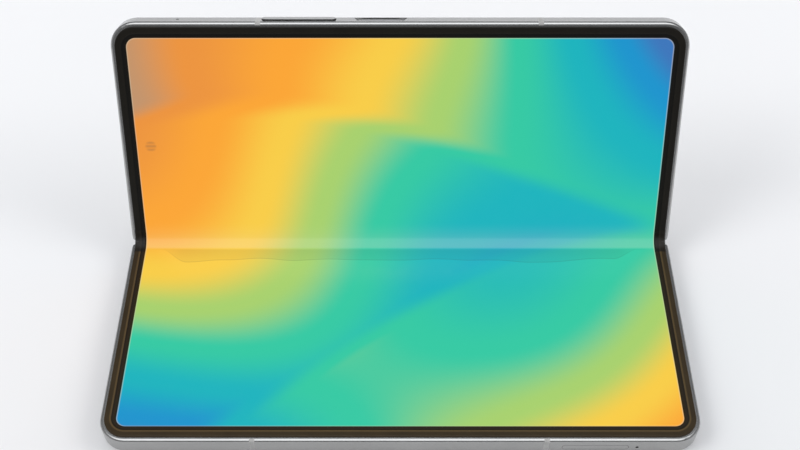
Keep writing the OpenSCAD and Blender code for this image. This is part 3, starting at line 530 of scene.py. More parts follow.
# %% [markdown]
# ## The picture on the display
#
# The display shows a plain colour design of its own: soft fields of warm and cool colour, with
# two veils that begin at a wavy line and fade upwards. A saddle, x times y, puts warm colours
# in two opposite corners and cool ones in the others, two sine waves bend it, and one colour
# ramp turns the sum into colour. The same function serves all parts of the display, so the
# picture runs over the fold without a seam.


# %% The design
def veil(tree, field, across, along, height, slope, swing, wave, phase, amount, fade):
    """Adds amount to the field above a wavy line, fading upwards."""
    rise = calc(tree, "SINE", calc(tree, "MULTIPLY_ADD", across, wave, phase))
    line = calc(tree, "MULTIPLY_ADD", rise, swing,
                calc(tree, "MULTIPLY_ADD", across, slope, height))
    above = calc(tree, "SUBTRACT", along, line)
    edge = step(tree, above, -0.08, 0.06)
    body = calc(tree, "POWER", math.e,
                calc(tree, "DIVIDE", calc(tree, "MAXIMUM", above, 0.0), -fade))
    return calc(tree, "MULTIPLY_ADD", calc(tree, "MULTIPLY", edge, body), amount, field)


def design(tree, across, along):
    """The design's colour; across and along run from -1 to 1 over the open display."""
    contrast, level, drift = 0.40, 0.52, 0.05
    saddle = calc(tree, "MULTIPLY", across, along)
    field = calc(tree, "MULTIPLY_ADD", saddle, contrast, level)
    for x_turns, y_turns, phase, swing in ((1.9, -1.2, 0.5, 0.13), (3.1, 2.6, 1.0, 0.07)):
        angle = calc(tree, "MULTIPLY_ADD", across, x_turns,
                     calc(tree, "MULTIPLY_ADD", along, y_turns, phase))
        field = calc(tree, "MULTIPLY_ADD", calc(tree, "SINE", angle), swing, field)
    field = calc(tree, "MULTIPLY_ADD", across, drift, field)
    field = veil(tree, field, across, along, height=-0.45, slope=0.45, swing=0.20,
                 wave=2.4, phase=0.3, amount=0.10, fade=0.35)
    field = veil(tree, field, across, along, height=0.42, slope=-0.18, swing=0.16,
                 wave=2.2, phase=2.2, amount=-0.11, fade=0.40)
    return bands(tree, field, [
        (0.00, screen_colour(196, 150, 110)), (0.10, screen_colour(240, 150, 60)),
        (0.24, screen_colour(255, 168, 50)), (0.38, screen_colour(252, 208, 70)),
        (0.50, screen_colour(170, 212, 110)), (0.62, screen_colour(50, 204, 165)),
        (0.76, screen_colour(18, 182, 192)), (0.90, screen_colour(20, 150, 208)),
        (1.00, screen_colour(60, 120, 190))])


print("design ready")

# %% [markdown]
# ## Edges and crease of the display
#
# The panel is wider than its picture: a black margin runs round it, which the border covers on the
# flat parts and which stays in sight at the bend. Just inside the margin, where the protective
# film ends, a thin pale line is a painted highlight. Both follow one value, the distance inside
# the picture's rounded outline, so they come from a few Math nodes and not from separate strips.
# Only the panel's face is lit: its sides and its back are black, as the height under the face
# tells.


# %% Distance inside the picture's outline
border = 4.2 * mm
picture_x = half_length - border
picture_s = half_width - border
picture_corner = 2.8 * mm


def inside(tree, x, s):
    """Distance inwards from the picture's rounded outline."""
    past_x = calc(tree, "SUBTRACT", calc(tree, "ABSOLUTE", x), picture_x - picture_corner)
    past_s = calc(tree, "SUBTRACT", calc(tree, "ABSOLUTE", s), picture_s - picture_corner)
    outer = radius_of(tree, calc(tree, "MAXIMUM", past_x, 0.0),
                      calc(tree, "MAXIMUM", past_s, 0.0))
    inner = calc(tree, "MINIMUM", calc(tree, "MAXIMUM", past_x, past_s), 0.0)
    return calc(tree, "SUBTRACT", picture_corner, calc(tree, "ADD", outer, inner))


print(f"picture {2 * picture_x / mm:.1f} by {2 * picture_s / mm:.1f} mm")

# %% [markdown]
# The black border is one moulded strip: a raised lip outside, darker in colour, with a pale
# painted highlight along its inner edge, a fine dark line of painted shade beside it, and a lower
# part that runs down to the picture. The same distance drives that profile, so lip, highlight and
# shade follow the round corners. Rubber reflects little, hence the low specular level. The half
# that lies down carries painted warm light: its rubber colour is browner and paler than the raised
# half's, and the painted highlight on its lip is stronger.


# %% Finish of the border
lip_end = (-1.35 * mm, -1.05 * mm)
# where the painted highlight on the lip's edge begins
lip_highlight_start = (-1.85 * mm, -1.5 * mm)
# where the fine line of painted shade lies
groove_shade_start = (-1.3 * mm, -1.1 * mm)
groove_shade_end = (-0.9 * mm, -0.7 * mm)


def border_finish(name, to_place, colour, lip_highlight):
    """Dark rubber with a lip, a painted highlight on the lip's edge and a line of painted shade
    beside it; lip_highlight is how much paler the painted highlight is.
    """
    material, tree, place, shader = start_material(name, specular_ior_level=0.2)
    x, s, _ = parts_of(tree, to_place(tree, place))
    depth = inside(tree, x, s)
    lip = step(tree, depth, *lip_end, 1.0, 0.0)
    edge = calc(tree, "MULTIPLY", lip, step(tree, depth, *lip_highlight_start))
    groove = calc(tree, "MULTIPLY", step(tree, depth, *groove_shade_start),
                  step(tree, depth, *groove_shade_end, 1.0, 0.0))
    tint = blend_colours(tree, spread(tree, noise(tree, place, 180, 3), 0, 1), colour,
                         tuple(1.3 * c for c in colour))
    tint = blend_colours(tree, lip, tuple(0.6 * c for c in colour), tint)
    # painted highlight on the lip's inner edge
    tint = blend_colours(tree, edge, tint, tuple(lip_highlight * c for c in colour))
    # painted shade: a fine dark line beside the lip
    tint = blend_colours(tree, groove, tint, tuple(0.35 * c for c in colour))
    fine = noise(tree, place, 8000, 2)
    tree.links.new(tint, shader.inputs["Base Color"])
    tree.links.new(spread(tree, fine, 0.34, 0.44), shader.inputs["Roughness"])
    bump(tree, shader, calc(tree, "MULTIPLY_ADD", fine, 0.05, lip), 4e-5)
    return material


def bend_place(tree, place):
    """Only the place along the hinge, because the bent border has no corners."""
    return put(tree, "ShaderNodeMapping", {"Vector": place, "Scale": (1, 0, 0)}).outputs[0]


# painted light: the half that lies down gets a browner, paler rubber colour and a stronger lip
# highlight, as a painted warm glow; the bend's colour lies between those of the two halves
warm_lit_base_rubber = border_finish("border_rubber_base_painted_glow", base_place, (0.030, 0.0195, 0.008), 3.0)
lid_rubber = border_finish("border_rubber_lid", lid_place, (0.0075, 0.006, 0.004), 1.3)
bend_rubber = border_finish("border_rubber_bend", bend_place, (0.011, 0.0085, 0.0055), 1.5)
print("three border finishes")

# %% [markdown]
# A folding display shows its crease, and its light and shade are painted into the picture's
# colour. Over the hinge a painted highlight makes a pale band. Beside it, on the half that lies
# down, painted shade darkens it, from a crisp upper edge to a lower edge that wanders, and that
# ends in a fine painted dark line. The painted shade closes before it reaches the ends of the
# hinge. The camera that sits under the display shows as a small patch where the pixels are
# sparser.


# %% Painted shade and highlight of the crease
crease_top = (-3.5 * mm, -2.6 * mm)
crease_bottom = (-0.3 * mm, 0.1 * mm)
crease_reach, crease_reach_at_ends = 7.3 * mm, 3.2 * mm
crease_wander = (-1.3 * mm, 0.6 * mm)
closing_edge = (61 * mm, 69 * mm)
fading_end = (61 * mm, 71 * mm)
shade_edge, shades = (-8 * mm, -3 * mm), (0.09, 0.16)
edge_line, edge_line_shade = 0.22 * mm, 0.2
crease_highlight_start, crease_highlight_end = (-3.0 * mm, -2.0 * mm), (-1.5 * mm, 7.0 * mm)
crease_highlight_amount = 0.085


def crease(tree, x, s, spot, colour):
    """The picture's colour with the crease's painted shade and painted highlight in it."""
    from_middle = calc(tree, "ABSOLUTE", x)
    stretched = put(tree, "ShaderNodeMapping", {"Vector": spot, "Scale": (1, 0.1, 0)})
    wander = spread(tree, noise(tree, stretched.outputs[0], 40, 1), *crease_wander)
    reach = step(tree, from_middle, *closing_edge, crease_reach, crease_reach_at_ends)
    below = calc(tree, "ADD", calc(tree, "ADD", s, reach), wander)
    upper = calc(tree, "MULTIPLY", step(tree, s, *crease_top, 1.0, 0.0),
                 step(tree, from_middle, *fading_end, 1.0, 0.0))
    lower = step(tree, below, *crease_bottom)
    # painted shade on the half that lies down, ending in a fine painted dark line
    shade = step(tree, s, *shade_edge, *shades)
    dark = calc(tree, "MULTIPLY", calc(tree, "MULTIPLY", upper, lower), shade)
    line = calc(tree, "MULTIPLY", upper, step(tree, calc(tree, "ABSOLUTE", below), 0.0,
                                              edge_line, edge_line_shade, 0.0))
    # painted highlight: a pale band over the hinge
    pale = calc(tree, "MULTIPLY", step(tree, s, *crease_highlight_start),
                step(tree, s, *crease_highlight_end, crease_highlight_amount, 0.0))
    colour = blend_colours(tree, calc(tree, "ADD", dark, line), colour, (0.02, 0.04, 0.03))
    return blend_colours(tree, pale, colour, (0.85, 0.85, 0.72))


print("crease reaches", round(crease_reach / mm, 1), "mm from the hinge")


# %% The finish of a lit display
margin_edge = (0.0, 0.08 * mm)
film_edge, film_highlight_amount = (0.12 * mm, 0.42 * mm), 0.38
lit_depth = (-0.10 * mm, -0.03 * mm)


def display_finish(name, to_place):
    """A lit display; to_place gives (along the hinge, up from it, height) in metres."""
    material, tree, place, shader = start_material(
        name, base_color=(0.006, 0.006, 0.007, 1), roughness=0.16, emission_strength=0.96,
        specular_ior_level=0.22)
    spot = to_place(tree, place)
    x, s, height = parts_of(tree, spot)
    colour = design(tree, calc(tree, "DIVIDE", x, half_length),
                    calc(tree, "DIVIDE", s, half_width))
    colour = crease(tree, x, s, spot, colour)
    depth = inside(tree, x, s)
    # painted highlight: a thin pale line where the protective film ends
    film = step(tree, depth, *film_edge, film_highlight_amount, 0.0)
    colour = blend_colours(tree, film, colour, (0.75, 0.68, 0.5))
    dark = calc(tree, "MAXIMUM", step(tree, depth, *margin_edge, 1.0, 0.0),
                step(tree, height, *lit_depth, 1.0, 0.0))
    colour = blend_colours(tree, dark, colour, (0.004, 0.004, 0.004))
    tree.links.new(colour, shader.inputs["Emission Color"])
    tree.links.new(spread(tree, noise(tree, place, 300, 2), 0.13, 0.19),
                   shader.inputs["Roughness"])
    return material, tree, colour, spot, shader


def picture_on_base(tree, place):
    """The half that lies down carries the lower part of the picture, so s is negative."""
    return put(tree, "ShaderNodeVectorMath", {0: base_place(tree, place), 1: (1, -1, 1)},
               operation="MULTIPLY").outputs[0]


def picture_on_bend(tree, place):
    """The bent sheet brings its own unrolled places, stored on its points."""
    return put(tree, "ShaderNodeAttribute", attribute_name="sheet_place").outputs["Vector"]


base_screen = display_finish("screen_base", picture_on_base)[0]
lid_screen, tree, colour, spot, shader = display_finish("screen_lid", lid_place)
fold_screen = display_finish("screen_fold", picture_on_bend)[0]
print("three display finishes")

# %% The camera under the display
patch_edge = (1.0 * mm, 1.9 * mm)
row_pitch = 1.1 * mm
x, s, _ = parts_of(tree, spot)
patch = step(tree, distance_from(tree, x, s, hidden_lens), *patch_edge, 1.0, 0.0)
rows = calc(tree, "SINE", calc(tree, "MULTIPLY", s, 2 * math.pi / row_pitch))
sparse = calc(tree, "MULTIPLY", patch, calc(tree, "MULTIPLY_ADD", rows, 0.1, 0.2))
tree.links.new(blend_colours(tree, sparse, colour, (0.0, 0.05, 0.06)),
               shader.inputs["Emission Color"])
print("patch", 2 * patch_edge[1] / mm, "mm across")

# %% [markdown]
# ## The bent part of the display
#
# Between its two flat parts the display is one arc that is tangent to both. That is a shape with a
# rule, so Geometry Nodes build it: a flat grid, a Set Position that rolls it onto the arc, and an
# extrusion for the thickness. The tree stores where each point lies on the unrolled sheet, and the
# picture reads that. The arc is made as two pieces that meet on the hinge line.


# %% Helpers for geometry trees
def start_tree(name, sockets):
    """A geometry tree with named inputs; sockets is a list of (name, kind)."""
    tree = bpy.data.node_groups.new(name, "GeometryNodeTree")
    for label, kind in sockets:
        tree.interface.new_socket(name=label, in_out="INPUT", socket_type="NodeSocket" + kind)
    tree.interface.new_socket(name="Geometry", in_out="OUTPUT", socket_type="NodeSocketGeometry")
    given = tree.nodes.new("NodeGroupInput").outputs
    return tree, given


def end_tree(tree, geometry, material):
    """Ends a tree in Realize Instances and Set Material."""
    real = put(tree, "GeometryNodeRealizeInstances", {0: geometry})
    dressed = put(tree, "GeometryNodeSetMaterial", {"Geometry": real.outputs[0],
                                                    "Material": material})
    put(tree, "NodeGroupOutput", {0: dressed.outputs[0]})


print("trees can be started and ended")


# %% Helpers that turn a tree into a piece
def grow(name, tree, values):
    """Runs a tree on an empty object and keeps the result as a plain mesh."""
    grown = bpy.data.objects.new(name + "_source", bpy.data.meshes.new(name))
    bpy.context.scene.collection.objects.link(grown)
    modifier = grown.modifiers.new("tree", "NODES")
    modifier.node_group = tree
    for item in tree.interface.items_tree:
        if item.in_out == "INPUT" and item.name in values:
            modifier[item.identifier] = values[item.name]
    evaluated = grown.evaluated_get(bpy.context.evaluated_depsgraph_get())
    mesh = bpy.data.meshes.new_from_object(evaluated)
    bpy.data.objects.remove(grown)
    mesh.name = name
    piece = bpy.data.objects.new(name, mesh)
    bpy.context.scene.collection.objects.link(piece)
    return piece


def settle(piece, matrix):
    """Moves a piece's mesh to its place, and smooths its curved faces but not its edges."""
    piece.data.transform(matrix)
    if matrix.determinant() < 0:
        piece.data.flip_normals()
    piece.data.polygons.foreach_set("use_smooth", [True] * len(piece.data.polygons))
    piece.data.set_sharp_from_angle(angle=math.radians(35))
    piece.data.update()
    return piece


print("pieces can be grown")


# %% The rule of the bend
def bend(tree, place, radius, flat, turn):
    """Where a point at distance place along the unrolled sheet lies: an arc, then straight."""
    share = calc(tree, "DIVIDE", place, flat)
    share = calc(tree, "MINIMUM", calc(tree, "MAXIMUM", share, -1.0), 1.0)
    angle = calc(tree, "MULTIPLY", share, turn)
    past = calc(tree, "SUBTRACT", place, calc(tree, "MULTIPLY", share, flat))
    y = calc(tree, "MULTIPLY_ADD", calc(tree, "SINE", angle), radius,
             calc(tree, "MULTIPLY", past, calc(tree, "COSINE", turn)))
    drop = calc(tree, "SUBTRACT", 1.0, calc(tree, "COSINE", angle))
    z = calc(tree, "MULTIPLY_ADD", drop, radius,
             calc(tree, "MULTIPLY", calc(tree, "ABSOLUTE", past), calc(tree, "SINE", turn)))
    return y, z


fold_end = turn_about(pivot_y, pivot_z, tilt) @ Vector((0, flat_start, 0))
fold_radius = fold_end.y / math.sin(tilt)
fold_low = fold_end.z - fold_radius * (1 - math.cos(tilt))
print("bend radius", round(fold_radius / mm, 2), "mm")

# %% The bent sheet's tree
bent, given = start_tree("bent_sheet", [
    ("Length", "Float"), ("Radius", "Float"), ("Flat Start", "Float"), ("Turn", "Float"),
    ("From Place", "Float"), ("To Place", "Float"), ("Thickness", "Float"),
    ("Columns", "Int"), ("Rows", "Int"), ("Material", "Material")])
grid = put(bent, "GeometryNodeMeshGrid", {"Size X": 1.0, "Size Y": 1.0,
                                          "Vertices X": given["Columns"],
                                          "Vertices Y": given["Rows"]})
at = put(bent, "ShaderNodeSeparateXYZ", {0: put(bent, "GeometryNodeInputPosition").outputs[0]})
unrolled = put(bent, "ShaderNodeMapRange", {0: at.outputs[1], 1: -0.5, 2: 0.5,
                                            3: given["From Place"],
                                            4: given["To Place"]}).outputs[0]
x = calc(bent, "MULTIPLY", at.outputs[0], given["Length"])
y, z = bend(bent, unrolled, given["Radius"], given["Flat Start"], given["Turn"])
named = put(bent, "GeometryNodeStoreNamedAttribute", {
    "Geometry": grid.outputs["Mesh"], "Name": "sheet_place",
    "Value": put(bent, "ShaderNodeCombineXYZ", {0: x, 1: unrolled}).outputs[0]},
    data_type="FLOAT_VECTOR", domain="POINT")
rolled = put(bent, "GeometryNodeSetPosition", {
    "Geometry": named.outputs[0],
    "Position": put(bent, "ShaderNodeCombineXYZ", {0: x, 1: y, 2: z}).outputs[0]})
# the back faces down, and its stored place lies under the face, so the picture leaves it dark
turned = put(bent, "GeometryNodeFlipFaces", {0: rolled.outputs[0]})
thick = put(bent, "GeometryNodeExtrudeMesh", {"Mesh": turned.outputs[0],
                                              "Offset Scale": given["Thickness"],
                                              "Individual": False})
spot = put(bent, "GeometryNodeInputNamedAttribute", {"Name": "sheet_place"},
           data_type="FLOAT_VECTOR").outputs["Attribute"]
sunk = put(bent, "ShaderNodeCombineXYZ", {2: calc(bent, "MULTIPLY", given["Thickness"], -1.0)})
back = put(bent, "GeometryNodeStoreNamedAttribute", {
    "Geometry": thick.outputs["Mesh"], "Selection": thick.outputs["Top"], "Name": "sheet_place",
    "Value": put(bent, "ShaderNodeVectorMath", {0: spot, 1: sunk.outputs[0]}).outputs[0]},
    data_type="FLOAT_VECTOR", domain="POINT")
shell = put(bent, "GeometryNodeJoinGeometry")
bent.links.new(rolled.outputs[0], shell.inputs[0])
bent.links.new(back.outputs[0], shell.inputs[0])
closed = put(bent, "GeometryNodeMergeByDistance", {"Geometry": shell.outputs[0],
                                                   "Distance": 1e-7})
end_tree(bent, closed.outputs[0], given["Material"])
print(len(bent.nodes), "nodes in the bent sheet")

# %% [markdown]
# The black border bends with the display. On the flat parts it is one solid with rounded
# edges, so the bent part is the same section swept along the same rule: a short curve is laid
# on the bend, and Curve to Mesh carries a filleted rectangle along it.

# %% The bent border's tree
strip, given = start_tree("bent_border", [
    ("Width", "Float"), ("Height", "Float"), ("Edge", "Float"), ("Radius", "Float"),
    ("Flat Start", "Float"), ("Turn", "Float"), ("From Place", "Float"),
    ("To Place", "Float"), ("Steps", "Int"), ("Material", "Material")])
line = put(strip, "GeometryNodeCurvePrimitiveLine", {
    "Start": put(strip, "ShaderNodeCombineXYZ", {1: given["From Place"]}).outputs[0],
    "End": put(strip, "ShaderNodeCombineXYZ", {1: given["To Place"]}).outputs[0]})
points = put(strip, "GeometryNodeResampleCurve", {"Curve": line.outputs[0],
                                                  "Count": given["Steps"]})
at = put(strip, "ShaderNodeSeparateXYZ",
         {0: put(strip, "GeometryNodeInputPosition").outputs[0]})
y, z = bend(strip, at.outputs[1], given["Radius"], given["Flat Start"], given["Turn"])
path = put(strip, "GeometryNodeSetPosition", {
    "Geometry": points.outputs[0],
    "Position": put(strip, "ShaderNodeCombineXYZ", {1: y, 2: z}).outputs[0]})
path = put(strip, "GeometryNodeSetCurveNormal", {"Curve": path.outputs[0]}, mode="Z_UP")
box = put(strip, "GeometryNodeCurvePrimitiveQuadrilateral", {"Width": given["Width"],
                                                             "Height": given["Height"]})
section = put(strip, "GeometryNodeFilletCurve", {"Curve": box.outputs[0], "Count": 4,
                                                 "Radius": given["Edge"]}, mode="POLY")
swept = put(strip, "GeometryNodeCurveToMesh", {"Curve": path.outputs[0],
                                               "Profile Curve": section.outputs[0],
                                               "Fill Caps": True})
end_tree(strip, swept.outputs[0], given["Material"])
print(len(strip.nodes), "nodes in the bent border")

# %% [markdown]
# Both pieces of the bend cross one joint each: the first the joint between the half that lies down
# and the spine, the second the joint between the spine and the raised half. Each is made in place
# for this pose.

# %% Make both pieces of the bend and of its border
panel_thick = screen_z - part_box("base_display")[0].z
border_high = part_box("base_bezel")[1].z - screen_z
border_from = hinge_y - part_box("base_bezel")[1].y
border_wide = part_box("base_bezel")[1].x - picture_x
border_edge = 0.28 * mm


for half, bodies, first, last in (("base", ("base", "spine"), -1, 0),
                                  ("lid", ("spine", "lid"), 0, 1)):
    sheet = grow("display_bend_" + half, bent, {
        "Length": 2 * screen_half, "Radius": fold_radius, "Flat Start": flat_start,
        "Turn": tilt, "From Place": first * flat_start, "To Place": last * flat_start,
        "Thickness": panel_thick, "Columns": 61, "Rows": 13, "Material": fold_screen})
    settle(sheet, on_spine @ Matrix.Translation((0, 0, fold_low)))
    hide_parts("display_fold")
    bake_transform(sheet)
    for side, sign in (("left", -1), ("right", 1)):
        edge = grow(f"border_bend_{half}_{side}", strip, {
            "Width": border_wide, "Height": border_high, "Edge": border_edge,
            "Radius": fold_radius - border_high / 2, "Flat Start": flat_start, "Turn": tilt,
            "From Place": first * border_from, "To Place": last * border_from, "Steps": 14,
            "Material": bend_rubber})
        settle(edge, on_spine @ Matrix.Translation(
            (sign * (picture_x + border_wide / 2), 0, fold_low + border_high / 2)))
        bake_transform(edge)
    print(half, len(sheet.data.polygons), "faces in the sheet,", len(edge.data.polygons),
          "in a border, size", [round(v / mm, 2) for v in edge.dimensions])

# %% [markdown]
# ## Lens glass
#
# A camera window looks black, yet a close look shows rings: the bright edge of the barrel, a
# violet and a blue tint from the coatings, and the dark pupil. All rings share one centre, so
# one value, the distance from the nearest lens centre, drives a colour ramp. A clear coat on
# top gives the hard gloss of the window.


# %% Finish of a lens
def lens_finish(name, to_place, distance_at, radius):
    """Glass with rings; distance_at turns the flat place into a distance from the centre."""
    material, tree, place, shader = start_material(
        name, roughness=0.12, specular_ior_level=0.1, coat_weight=0.5, coat_roughness=0.02)
    x, y, _ = parts_of(tree, to_place(tree, place))
    ring = calc(tree, "DIVIDE", distance_at(tree, x, y), radius)
    tree.links.new(bands(tree, ring, rings, "LINEAR"), shader.inputs["Base Color"])
    tree.links.new(spread(tree, noise(tree, place, 900), 0.08, 0.16),
                   shader.inputs["Roughness"])
    return material


rings = [(0.0, (0.002, 0.003, 0.006)), (0.2, (0.002, 0.003, 0.008)),
         (0.24, (0.03, 0.015, 0.06)), (0.34, (0.006, 0.02, 0.05)), (0.42, (0.004, 0.004, 0.006)),
         (0.60, (0.008, 0.008, 0.009)), (0.62, (0.05, 0.05, 0.055)), (0.65, (0.006, 0.006, 0.007)),
         (0.84, (0.010, 0.010, 0.011)), (0.87, (0.09, 0.09, 0.095)), (0.91, (0.008, 0.008, 0.009)),
         (1.0, (0.004, 0.004, 0.004))]
print(len(rings), "stops from the pupil to the rim")

# %% The three main cameras
island_middle, _ = spot_on_lid("camera_island")
_, window_reach = spot_on_lid("lens_windows")
lens_pitch = 12.2 * mm
lens_radius = window_reach - lens_pitch


def nearest_lens(tree, x, y):
    """Distance from the nearest of three lens centres in a row along the hinge."""
    along = calc(tree, "DIVIDE", calc(tree, "SUBTRACT", x, island_middle.x), lens_pitch)
    whole = calc(tree, "ROUND", along)
    rest = calc(tree, "MULTIPLY", calc(tree, "SUBTRACT", along, whole), lens_pitch)
    return radius_of(tree, rest, calc(tree, "SUBTRACT", y, island_middle.y))


lens_glass = lens_finish("lens_glass", lid_place, nearest_lens, lens_radius)
print("lens radius", round(lens_radius / mm, 2), "mm")

# %% [markdown]
# Two more cameras look through small round windows: one beside the outer display, and one under
# the inner display. Each has one centre, so its distance needs no rounding to the nearest lens.
# The flash is a yellowish plastic lens with fine round steps, which a sine of the distance from
# its middle draws as bump.

# %% The two small cameras
cover_low, cover_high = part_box("cover_camera")
cover_spot = (cover_low + cover_high) / 2
cover_radius = (cover_high.x - cover_low.x) / 2
cover_lens = lens_finish("cover_lens", lambda tree, place: place,
                         lambda tree, x, y: distance_from(tree, x, y, cover_spot), cover_radius)
under_lens = lens_finish("under_lens", lid_place,
                         lambda tree, x, y: distance_from(tree, x, y, hidden_lens), hidden_radius)
print("radii", round(cover_radius / mm, 2), "and", round(hidden_radius / mm, 2), "mm")

# %% The flash
flash_spot, flash_radius = spot_on_lid("flash_window")
# about six round steps from the middle to the rim, in radians
flash_turn = 38.0
flash_plastic, tree, place, shader = start_material(
    "flash_plastic", roughness=0.2, coat_weight=0.8, coat_roughness=0.05)
x, y, _ = parts_of(tree, lid_place(tree, place))
ring = calc(tree, "DIVIDE", distance_from(tree, x, y, flash_spot), flash_radius)
groove = calc(tree, "SINE", calc(tree, "MULTIPLY", ring, flash_turn))
tree.links.new(bands(tree, ring, [(0.0, (0.85, 0.78, 0.42)), (0.45, (0.86, 0.82, 0.58)),
                                  (1.0, (0.88, 0.87, 0.80))]), shader.inputs["Base Color"])
bump(tree, shader, groove, 4e-5)
print("flash radius", round(flash_radius / mm, 2), "mm")

# %% [markdown]
# ## Finishes inside the phone
#
# The boards, cells and coils are out of sight until the phone is taken apart. Each still gets
# its own look: a board has fine copper lines under green lacquer, a battery has a dark foil
# with soft dents, a coil is wound in rings, and a speaker box is grained plastic.


# %% Circuit boards
def board_finish(name, lacquer, line, tile):
    """Lacquer over fine lines, with small pads between them."""
    material, tree, place, shader = start_material(name, roughness=0.4, coat_weight=0.3,
                                                   coat_roughness=0.25)
    askew = put(tree, "ShaderNodeMapping", {"Vector": place, "Rotation": (0.5, 0.3, 0.4)})
    tracks = put(tree, "ShaderNodeTexBrick", {
        "Vector": lid_place(tree, place), "Scale": tile, "Mortar Size": 0.04,
        "Brick Width": 0.9, "Row Height": 0.35})
    dots = put(tree, "ShaderNodeTexVoronoi", {"Vector": askew.outputs[0], "Scale": tile * 1.7})
    pads = step(tree, dots.outputs["Distance"], 0.12, 0.16, 1.0, 0.0)
    colour = blend_colours(tree, tracks.outputs["Fac"], lacquer, line)
    colour = blend_colours(tree, pads, colour, (0.62, 0.50, 0.26))
    tree.links.new(colour, shader.inputs["Base Color"])
    tree.links.new(pads, shader.inputs["Metallic"])
    bump(tree, shader, tracks.outputs["Fac"], 1.5e-5)
    return material


main_green = board_finish("main_green", (0.008, 0.07, 0.035), (0.03, 0.16, 0.07), 420)
small_green = board_finish("small_green", (0.010, 0.06, 0.045), (0.04, 0.15, 0.09), 560)
flex_amber = board_finish("flex_amber", (0.42, 0.17, 0.03), (0.62, 0.33, 0.08), 500)
print("three boards")


# %% Battery foil
def foil(name, colour):
    """Dark foil wrapped round a flat cell, with soft dents."""
    material, tree, place, shader = start_material(name, metallic=0.35)
    dents = noise(tree, place, 110, 2)
    scuffs = noise(tree, place, 1500, 3, 0.7)
    lighter = tuple(1.5 * c for c in colour)
    tree.links.new(blend_colours(tree, spread(tree, dents, 0, 1), colour, lighter),
                   shader.inputs["Base Color"])
    tree.links.new(spread(tree, scuffs, 0.3, 0.46), shader.inputs["Roughness"])
    bump(tree, shader, dents, 1.2e-4)
    return material


cell_foil = foil("cell_foil", (0.045, 0.045, 0.05))
print("foil for two cells")

# %% Copper coil
coil_spot, coil_radius = spot_on_lid("charging_coil")
wire_pitch = 0.45 * mm
coil_copper, tree, place, shader = start_material("coil_copper", metallic=1.0)
x, y, _ = parts_of(tree, lid_place(tree, place))
turns = calc(tree, "SINE", calc(tree, "MULTIPLY", distance_from(tree, x, y, coil_spot),
                                2 * math.pi / wire_pitch))
tree.links.new(blend_colours(tree, step(tree, turns, -0.6, 0.6), (0.30, 0.11, 0.05),
                             (0.86, 0.46, 0.28)), shader.inputs["Base Color"])
tree.links.new(spread(tree, noise(tree, place, 2500), 0.22, 0.36), shader.inputs["Roughness"])
bump(tree, shader, turns, 4e-5)
print("coil radius", round(coil_radius / mm, 1), "mm")


# %% Woven mesh and pressed cans
def woven(name, colour, pitch, depth):
    """A surface with crossing wires, for sound outlets."""
    material, tree, place, shader = start_material(name, metallic=0.8, roughness=0.4)
    x, y, z = parts_of(tree, place)
    turn = 2 * math.pi / pitch
    first = calc(tree, "SINE", calc(tree, "MULTIPLY", x, turn))
    second = calc(tree, "SINE", calc(tree, "MULTIPLY", calc(tree, "ADD", y, z), turn))
    weave = calc(tree, "MULTIPLY", first, second)
    dark = tuple(0.12 * c for c in colour)
    tree.links.new(blend_colours(tree, step(tree, weave, -0.5, 0.5), dark, colour),
                   shader.inputs["Base Color"])
    bump(tree, shader, weave, depth)
    return material


sound_mesh = woven("sound_mesh", (0.20, 0.20, 0.21), 0.22 * mm, 3e-5)
can_steel = brushed_metal("can_steel", (0.60, 0.60, 0.60), 0.3, (1, 0.1, 1))
box_plastic = moulded("box_plastic", (0.016, 0.016, 0.018), 0.5, 4000, 1e-5)
dark_metal = satin_metal("dark_metal", (0.10, 0.10, 0.105), 0.38, 7000)
ceramic = moulded("ceramic", (0.035, 0.035, 0.04), 0.2, 12000, 5e-7, 0.4)
print("inner finishes ready")

# %% [markdown]
# The outer display is off in this pose, so it reads as black glass, a trace bluer than the
# glass round it, and its fine pixel rows only show from close by. The glass over it has a black
# print on its inside, which leaves a window for the display and a ring round its camera.

# %% The outer display, switched off
off_screen, tree, place, shader = start_material("screen_off", roughness=0.1)
cells = put(tree, "ShaderNodeTexBrick", {"Vector": place, "Scale": 3000, "Mortar Size": 0.06})
tree.links.new(blend_colours(tree, cells.outputs["Fac"], (0.004, 0.005, 0.009),
                             (0.009, 0.010, 0.013)), shader.inputs["Base Color"])
tree.links.new(spread(tree, noise(tree, place, 400), 0.08, 0.13), shader.inputs["Roughness"])
print("outer display is off")

# %% The window in the print of the cover glass
cover_black, tree, place, shader = start_material("cover_black", coat_weight=0.6,
                                                  coat_roughness=0.04)
shown_low, shown_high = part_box("cover_display")
shown_middle = (shown_low + shown_high) / 2
print_overlap = 1.2 * mm
window_half = (shown_high - shown_low) / 2 - Vector((print_overlap, print_overlap, 0))
x, y, _ = parts_of(tree, place)
past = [calc(tree, "SUBTRACT", calc(tree, "ABSOLUTE", calc(tree, "SUBTRACT", value, centre)),
             half) for value, centre, half in ((x, shown_middle.x, window_half.x),
                                               (y, shown_middle.y, window_half.y))]
window = step(tree, calc(tree, "MAXIMUM", *past), -0.1 * mm, 0.1 * mm, 1.0, 0.0)
colour = blend_colours(tree, window, (0.013, 0.013, 0.014), (0.003, 0.004, 0.008))
print(f"window {2 * window_half.x / mm:.1f} by {2 * window_half.y / mm:.1f} mm")

